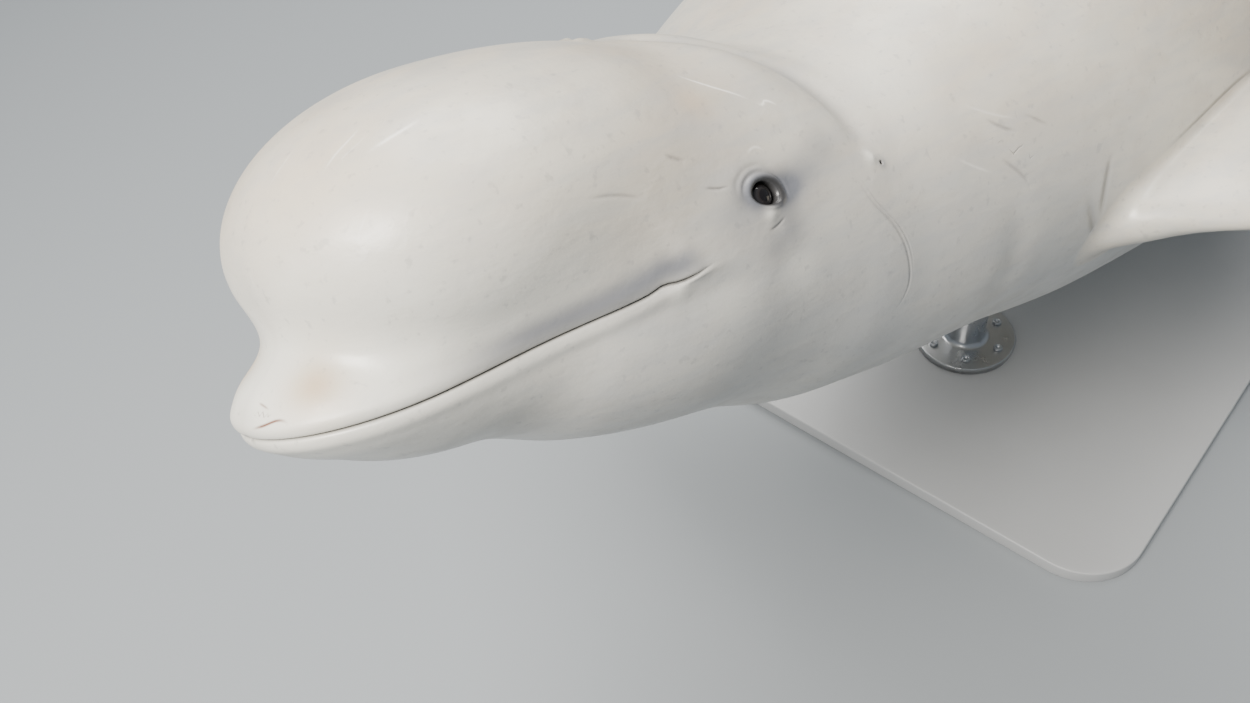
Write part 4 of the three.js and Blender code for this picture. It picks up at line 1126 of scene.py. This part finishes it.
CORNEA_RADIUS, CORNEA_BULGE, EYE_RINGS, EYE_SIDES = 0.0100, 0.0009, 40, 64
IRIS_RADIUS, PUPIL_RADIUS, RAMP_RADIUS = 0.0086, 0.0048, 0.0125
PUPIL_BLACK, SPOKE_BROWN = (0.002, 0.002, 0.003, 1), (0.012, 0.008, 0.006, 1)
EYE_COLOURS = [  # distance from the eye's axis as a share of the ramp's radius, and colour
    (0, PUPIL_BLACK), (PUPIL_RADIUS * 0.93 / RAMP_RADIUS, PUPIL_BLACK),
    (PUPIL_RADIUS * 1.07 / RAMP_RADIUS, (0.014, 0.011, 0.010, 1)), (0.56, (0.022, 0.021, 0.023, 1)),
    (IRIS_RADIUS / RAMP_RADIUS, (0.012, 0.010, 0.010, 1)), (0.74, (0.006, 0.006, 0.006, 1)),
    (0.92, (0.020, 0.018, 0.018, 1)),
]


def eye_finish(name, middle, axis):
    """Wet eye: colours by the distance from its axis, with fine spokes in the iris."""
    finish, tree, shader = new_finish(name)

    def vectors(operation, x, inputs, output=0):
        """Output of a vector math node."""
        return node(tree, "ShaderNodeVectorMath", (x, 0), inputs, operation=operation).outputs[output]

    read = node(tree, "ShaderNodeTexCoord", (-1500, 0)).outputs["Object"]
    centred = vectors("SUBTRACT", -1300, {0: read, 1: middle})
    along = vectors("DOT_PRODUCT", -1100, {0: centred, 1: axis}, "Value")
    shift = vectors("SCALE", -900, {0: axis, "Scale": along})
    across = vectors("SUBTRACT", -700, {0: centred, 1: shift})
    distance = vectors("LENGTH", -500, {0: across}, "Value")
    spokes = node(tree, "ShaderNodeTexNoise", (-300, -200), {
        "Vector": vectors("NORMALIZE", -500, {0: across}), "Scale": 9, "Detail": 5}).outputs[0]
    part_of_ramp = maths(tree, "DIVIDE", distance, RAMP_RADIUS)
    rings = node(tree, "ShaderNodeValToRGB", (-100, 0), {0: part_of_ramp})
    ramp = rings.color_ramp
    for position, colour in EYE_COLOURS[1:-1]:
        ramp.elements.new(position).color = colour
    ramp.elements[0].color = EYE_COLOURS[0][1]
    ramp.elements[-1].position, ramp.elements[-1].color = EYE_COLOURS[-1]
    spoked = maths(tree, "MULTIPLY", spokes, 0.55)
    streaked = blended(tree, spoked, rings.outputs[0], SPOKE_BROWN, (200, 0))
    feed(tree, shader, {"Base Color": streaked, "Roughness": 0.30, "Coat Weight": 1.0,
                        "Specular IOR Level": 0.1, "Coat Roughness": 0.02, "IOR": 1.38})
    return finish


for side, name in ((-1, "eye_left"), (1, "eye_right")):
    point, normal, along, upward = eye_frames[side]
    middle = point - normal * (EYE_SUNK + EYEBALL_RADIUS)
    polar = (np.pi * (np.arange(1, EYE_RINGS) / EYE_RINGS) ** 1.3)[:, None, None]
    around = (2 * np.pi * np.arange(EYE_SIDES) / EYE_SIDES)[:, None]
    bulge = CORNEA_BULGE * np.exp(-(EYEBALL_RADIUS * np.sin(polar) / CORNEA_RADIUS) ** 4) * (polar < 1.5)
    level = np.cos(around) * along + np.sin(around) * upward
    ball = middle + (EYEBALL_RADIUS + bulge) * (np.cos(polar) * normal + np.sin(polar) * level)
    poles = middle + np.array([[EYEBALL_RADIUS + CORNEA_BULGE], [-EYEBALL_RADIUS]]) * normal
    numbers = np.arange((EYE_RINGS - 1) * EYE_SIDES).reshape(EYE_RINGS - 1, EYE_SIDES)
    join_rows(numbers)
    close_with_pole(numbers[0], numbers.size)
    close_with_pole(numbers[-1], numbers.size + 1)
    eyeball = closed_mesh(name + "_ball", on_stand(np.concatenate([ball.reshape(-1, 3), poles])))
    eyeball.data.materials.append(eye_finish("wet_" + name, on_stand(middle), turn @ normal))
    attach(eyeball, "root")
    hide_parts(name)


# Display base: a flat plate with rounded corners and softly broken edges, in satin grey paint. It
# lies on a foot set a little inwards, so that a thin shadow runs round it on the floor.

BASE_CORNER, BASE_EDGE, CORNER_STEPS = 0.110, 0.003, 24
BASE_RECESS, BASE_FOOT = 0.004, 0.003

base_low, base_high = (np.array(corner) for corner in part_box("stand_base"))
base_half = (base_high - base_low) / 2


def turned_rings(x, y, radii, heights, angle):
    """Rings round upright axes: x + r cos a, y + r sin a, one for each height."""
    return xyz(x + radii * np.cos(angle), y + radii * np.sin(angle), np.array(heights)[:, None])


def add_stack(rings, first=0):
    """Collects the faces of stacked rings, closed at both ends; their points count from a number."""
    numbers = first + np.arange(rings[..., 0].size).reshape(rings.shape[:2])
    join_rows(numbers)
    faces.extend([numbers[0].tolist(), numbers[-1].tolist()])


def stand_finish(name, haze, lines, colours, hazy, lined, roughness, bump):
    """Paint or steel: wide haze varies its gloss, fine lines or dots raise it, and each of the two
    tints it by its own amount."""
    finish, tree, shader = new_finish(name)
    read = node(tree, "ShaderNodeTexCoord", (-1000, 0)).outputs["Object"]
    haze, lines = cloudy(tree, read, *haze, (-700, 200)), cloudy(tree, read, *lines, (-700, -200))
    tint = maths(tree, "MULTIPLY_ADD", haze, hazy, maths(tree, "MULTIPLY", lines, lined))
    feed(tree, shader, {
        "Base Color": blended(tree, tint, *colours, (-300, 200)),
        "Roughness": maths(tree, "MULTIPLY_ADD", haze, 0.12, roughness),
        "Normal": bumped(tree, lines, *bump)})
    return finish, shader


quarter = np.linspace(0, np.pi / 2, CORNER_STEPS)
bevel = np.linspace(0, np.pi / 2, 6)
insets = np.concatenate([[0.100, BASE_RECESS, BASE_RECESS], BASE_EDGE * (1 - np.sin(bevel)),
                         BASE_EDGE * (1 - np.cos(bevel)), [0.010, 0.104]])
heights = np.concatenate([[0, 0, BASE_FOOT], BASE_FOOT + BASE_EDGE * (1 - np.cos(bevel)),
                          base_high[2] - BASE_EDGE * (1 - np.sin(bevel)), [base_high[2]] * 2])
corner_x = np.repeat([1, -1, -1, 1], CORNER_STEPS) * (base_half[0] - BASE_CORNER)
corner_y = np.repeat([1, 1, -1, -1], CORNER_STEPS) * (base_half[1] - BASE_CORNER)
middle_x, middle_y, _ = (base_low + base_high) / 2
around = np.concatenate([quarter + k * np.pi / 2 for k in range(4)])
corner_radii = BASE_CORNER - insets[:, None]
rings = turned_rings(middle_x + corner_x, middle_y + corner_y, corner_radii, heights, around)
add_stack(rings)
base = closed_mesh("display_base", rings.reshape(-1, 3))
satin_paint, _ = stand_finish(
    "satin_grey_paint", haze=((3, 3, 3), 5.0, 0.35, 0.75), lines=((260, 260, 260), 1.0, 0.3, 0.7),
    colours=((0.47, 0.475, 0.475, 1), (0.41, 0.41, 0.405, 1)), hazy=0.5, lined=0.0, roughness=0.36,
    bump=(0.25, 0.0002))
base.data.materials.append(satin_paint)
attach(base, "root")
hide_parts("stand_base")


# Rods: brushed steel columns on round flanges, turned in one piece, screwed to the base with six
# socket screws each. Their tops follow the belly that rests on them.

ROD_RADIUS, FLANGE_RADIUS, FLANGE_HEIGHT, FOOT_FILLET = 0.036, 0.095, 0.016, 0.012
FLANGE_EDGE, FLANGE_RECESS, ROD_SIDES, ROD_EDGE, BELLY_GAP = 0.002, 0.001, 96, 0.0012, 0.0004
SCREWS, SCREW_CIRCLE, SCREW_RADIUS, SCREW_HEIGHT, SCREW_EDGE = 6, 0.070, 0.0085, 0.0070, 0.0008
HEX_RADIUS, HEX_DEPTH, SCREW_SIDES = 0.0046, 0.0045, 36


def belly_above(x, y, low):
    """Height at which upright lines meet the whale's skin, looked for in steps of 2 mm."""
    return crossing(lambda z: outside_flesh((xyz(x, y, z) - place) @ turn) < 0,
                    np.full_like(x, low), 0.002)


def socket_screw(x, y, bottom):
    """Rings of one screw's head: its side, a bevel, the flat and the walls of the hex socket,
    whose radius is that of its flats divided by the cosine of the angle from their middles."""
    angle = 2 * np.pi * np.arange(SCREW_SIDES) / SCREW_SIDES
    hexagon = HEX_RADIUS * np.cos(np.pi / 6) / np.cos(angle % (np.pi / 3) - np.pi / 6)
    rounds = np.array([[SCREW_RADIUS], [SCREW_RADIUS], [SCREW_RADIUS - SCREW_EDGE]]) + 0 * angle
    heights = bottom + np.array([-0.001, SCREW_HEIGHT - SCREW_EDGE, SCREW_HEIGHT, SCREW_HEIGHT,
                                 SCREW_HEIGHT - HEX_DEPTH])
    return turned_rings(x, y, np.concatenate([rounds, [hexagon, hexagon * 0.98]]), heights, angle)


brushed_steel, steel_shader = stand_finish(
    "brushed_steel", haze=((18, 18, 18), 3.0, 0.3, 0.8), lines=((4, 4, 1400), 3.0, 0.25, 0.75),
    colours=((0.50, 0.51, 0.52, 1), (0.60, 0.605, 0.61, 1)), hazy=0.0, lined=1.0, roughness=0.26,
    bump=(0.35, 0.0001))
steel_shader.inputs["Metallic"].default_value = 1
around = 2 * np.pi * np.arange(ROD_SIDES) / ROD_SIDES
curve, edge = np.linspace(0, np.pi / 2, 10), np.linspace(0, np.pi / 2, 5)
radii = np.concatenate([[FLANGE_RADIUS - 0.030, FLANGE_RADIUS - FLANGE_RECESS],
                        FLANGE_RADIUS - FLANGE_EDGE * (1 - np.cos(edge)),
                        ROD_RADIUS + FOOT_FILLET * (1 - np.sin(curve)), [ROD_RADIUS] * 3])
heights = np.concatenate([[0, 0], FLANGE_HEIGHT - FLANGE_EDGE * (1 - np.sin(edge)),
                          FLANGE_HEIGHT + FOOT_FILLET * (1 - np.cos(curve)), [0.05, 0.08, 0.10]])
top_radii = np.array([ROD_RADIUS, ROD_RADIUS - ROD_EDGE, 0.020, 0.006])
for name in ("stand_rod_front", "stand_rod_rear"):
    low, high = (np.array(corner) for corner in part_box(name))
    axis_x, axis_y = (low[:2] + high[:2]) / 2
    top = turned_rings(axis_x, axis_y, top_radii[:, None], [0] * 4, around)
    top[..., 2] = belly_above(top[..., 0], top[..., 1], low[2] + 0.12) - BELLY_GAP
    top[0, :, 2] -= ROD_EDGE
    rings = np.concatenate([turned_rings(axis_x, axis_y, radii[:, None], low[2] + heights, around), top])
    add_stack(rings)
    vertices = [rings.reshape(-1, 3)]
    for way in 2 * np.pi * (np.arange(SCREWS) + 0.5) / SCREWS:
        screw = socket_screw(axis_x + SCREW_CIRCLE * np.cos(way), axis_y + SCREW_CIRCLE * np.sin(way),
                             low[2] + FLANGE_HEIGHT)
        add_stack(screw, sum(map(len, vertices)))
        vertices.append(screw.reshape(-1, 3))
    rod = closed_mesh(name + "_turned", np.concatenate(vertices))
    rod.data.materials.append(brushed_steel)
    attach(rod, "root")
    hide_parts(name)


# Floor and light: a pale floor, one wide soft lamp from the front and above, as the sun stands in
# the photo, a large one over the whole hall, and a faint even light from all round.

FLOOR_RADIUS, FLOOR_SIDES, FLOOR_GREY = 60, 96, (0.31, 0.33, 0.345, 1)

around = 2 * np.pi * np.arange(FLOOR_SIDES) / FLOOR_SIDES
floor_mesh = bpy.data.meshes.new("floor")
floor_rim = turned_rings(0, 0, FLOOR_RADIUS, [0.0], around)[0]
floor_mesh.from_pydata(floor_rim.tolist(), [], [list(range(FLOOR_SIDES))])
floor = bpy.data.objects.new("floor", floor_mesh)
bpy.context.scene.collection.objects.link(floor)
floor_finish, tree, shader = new_finish("pale_floor")
feed(tree, shader, {"Base Color": FLOOR_GREY, "Roughness": 0.75})
floor.data.materials.append(floor_finish)


def soft_lamp(name, target, direction, distance, size, watts, colour):
    """A square lamp at a distance from its target, facing it."""
    lamp = bpy.data.lights.new(name, "AREA")
    lamp.size, lamp.energy, lamp.color = size, watts, colour
    holder = bpy.data.objects.new(name, lamp)
    way = Vector(direction).normalized()
    holder.location = Vector(target) + way * distance
    holder.rotation_euler = way.to_track_quat("Z", "Y").to_euler()
    bpy.context.scene.collection.objects.link(holder)


world = bpy.data.worlds.new("studio")
world.use_nodes = True
feed(world.node_tree, world.node_tree.nodes["Background"],
     {"Color": (0.74, 0.84, 0.95, 1), "Strength": 0.31})
bpy.context.scene.world = world
head_place = on_stand(np.array([0.30, 0, 0.05]))
soft_lamp("front_lamp", head_place, (-0.72, -0.08, 0.85), distance=3.4, size=1.5, watts=300,
          colour=(1.0, 0.96, 0.90))
soft_lamp("hall_lamp", (0.3, 0, 0.6), (0.10, 0.35, 1.0), distance=5.0, size=4.0, watts=420,
          colour=(1.0, 0.985, 0.96))
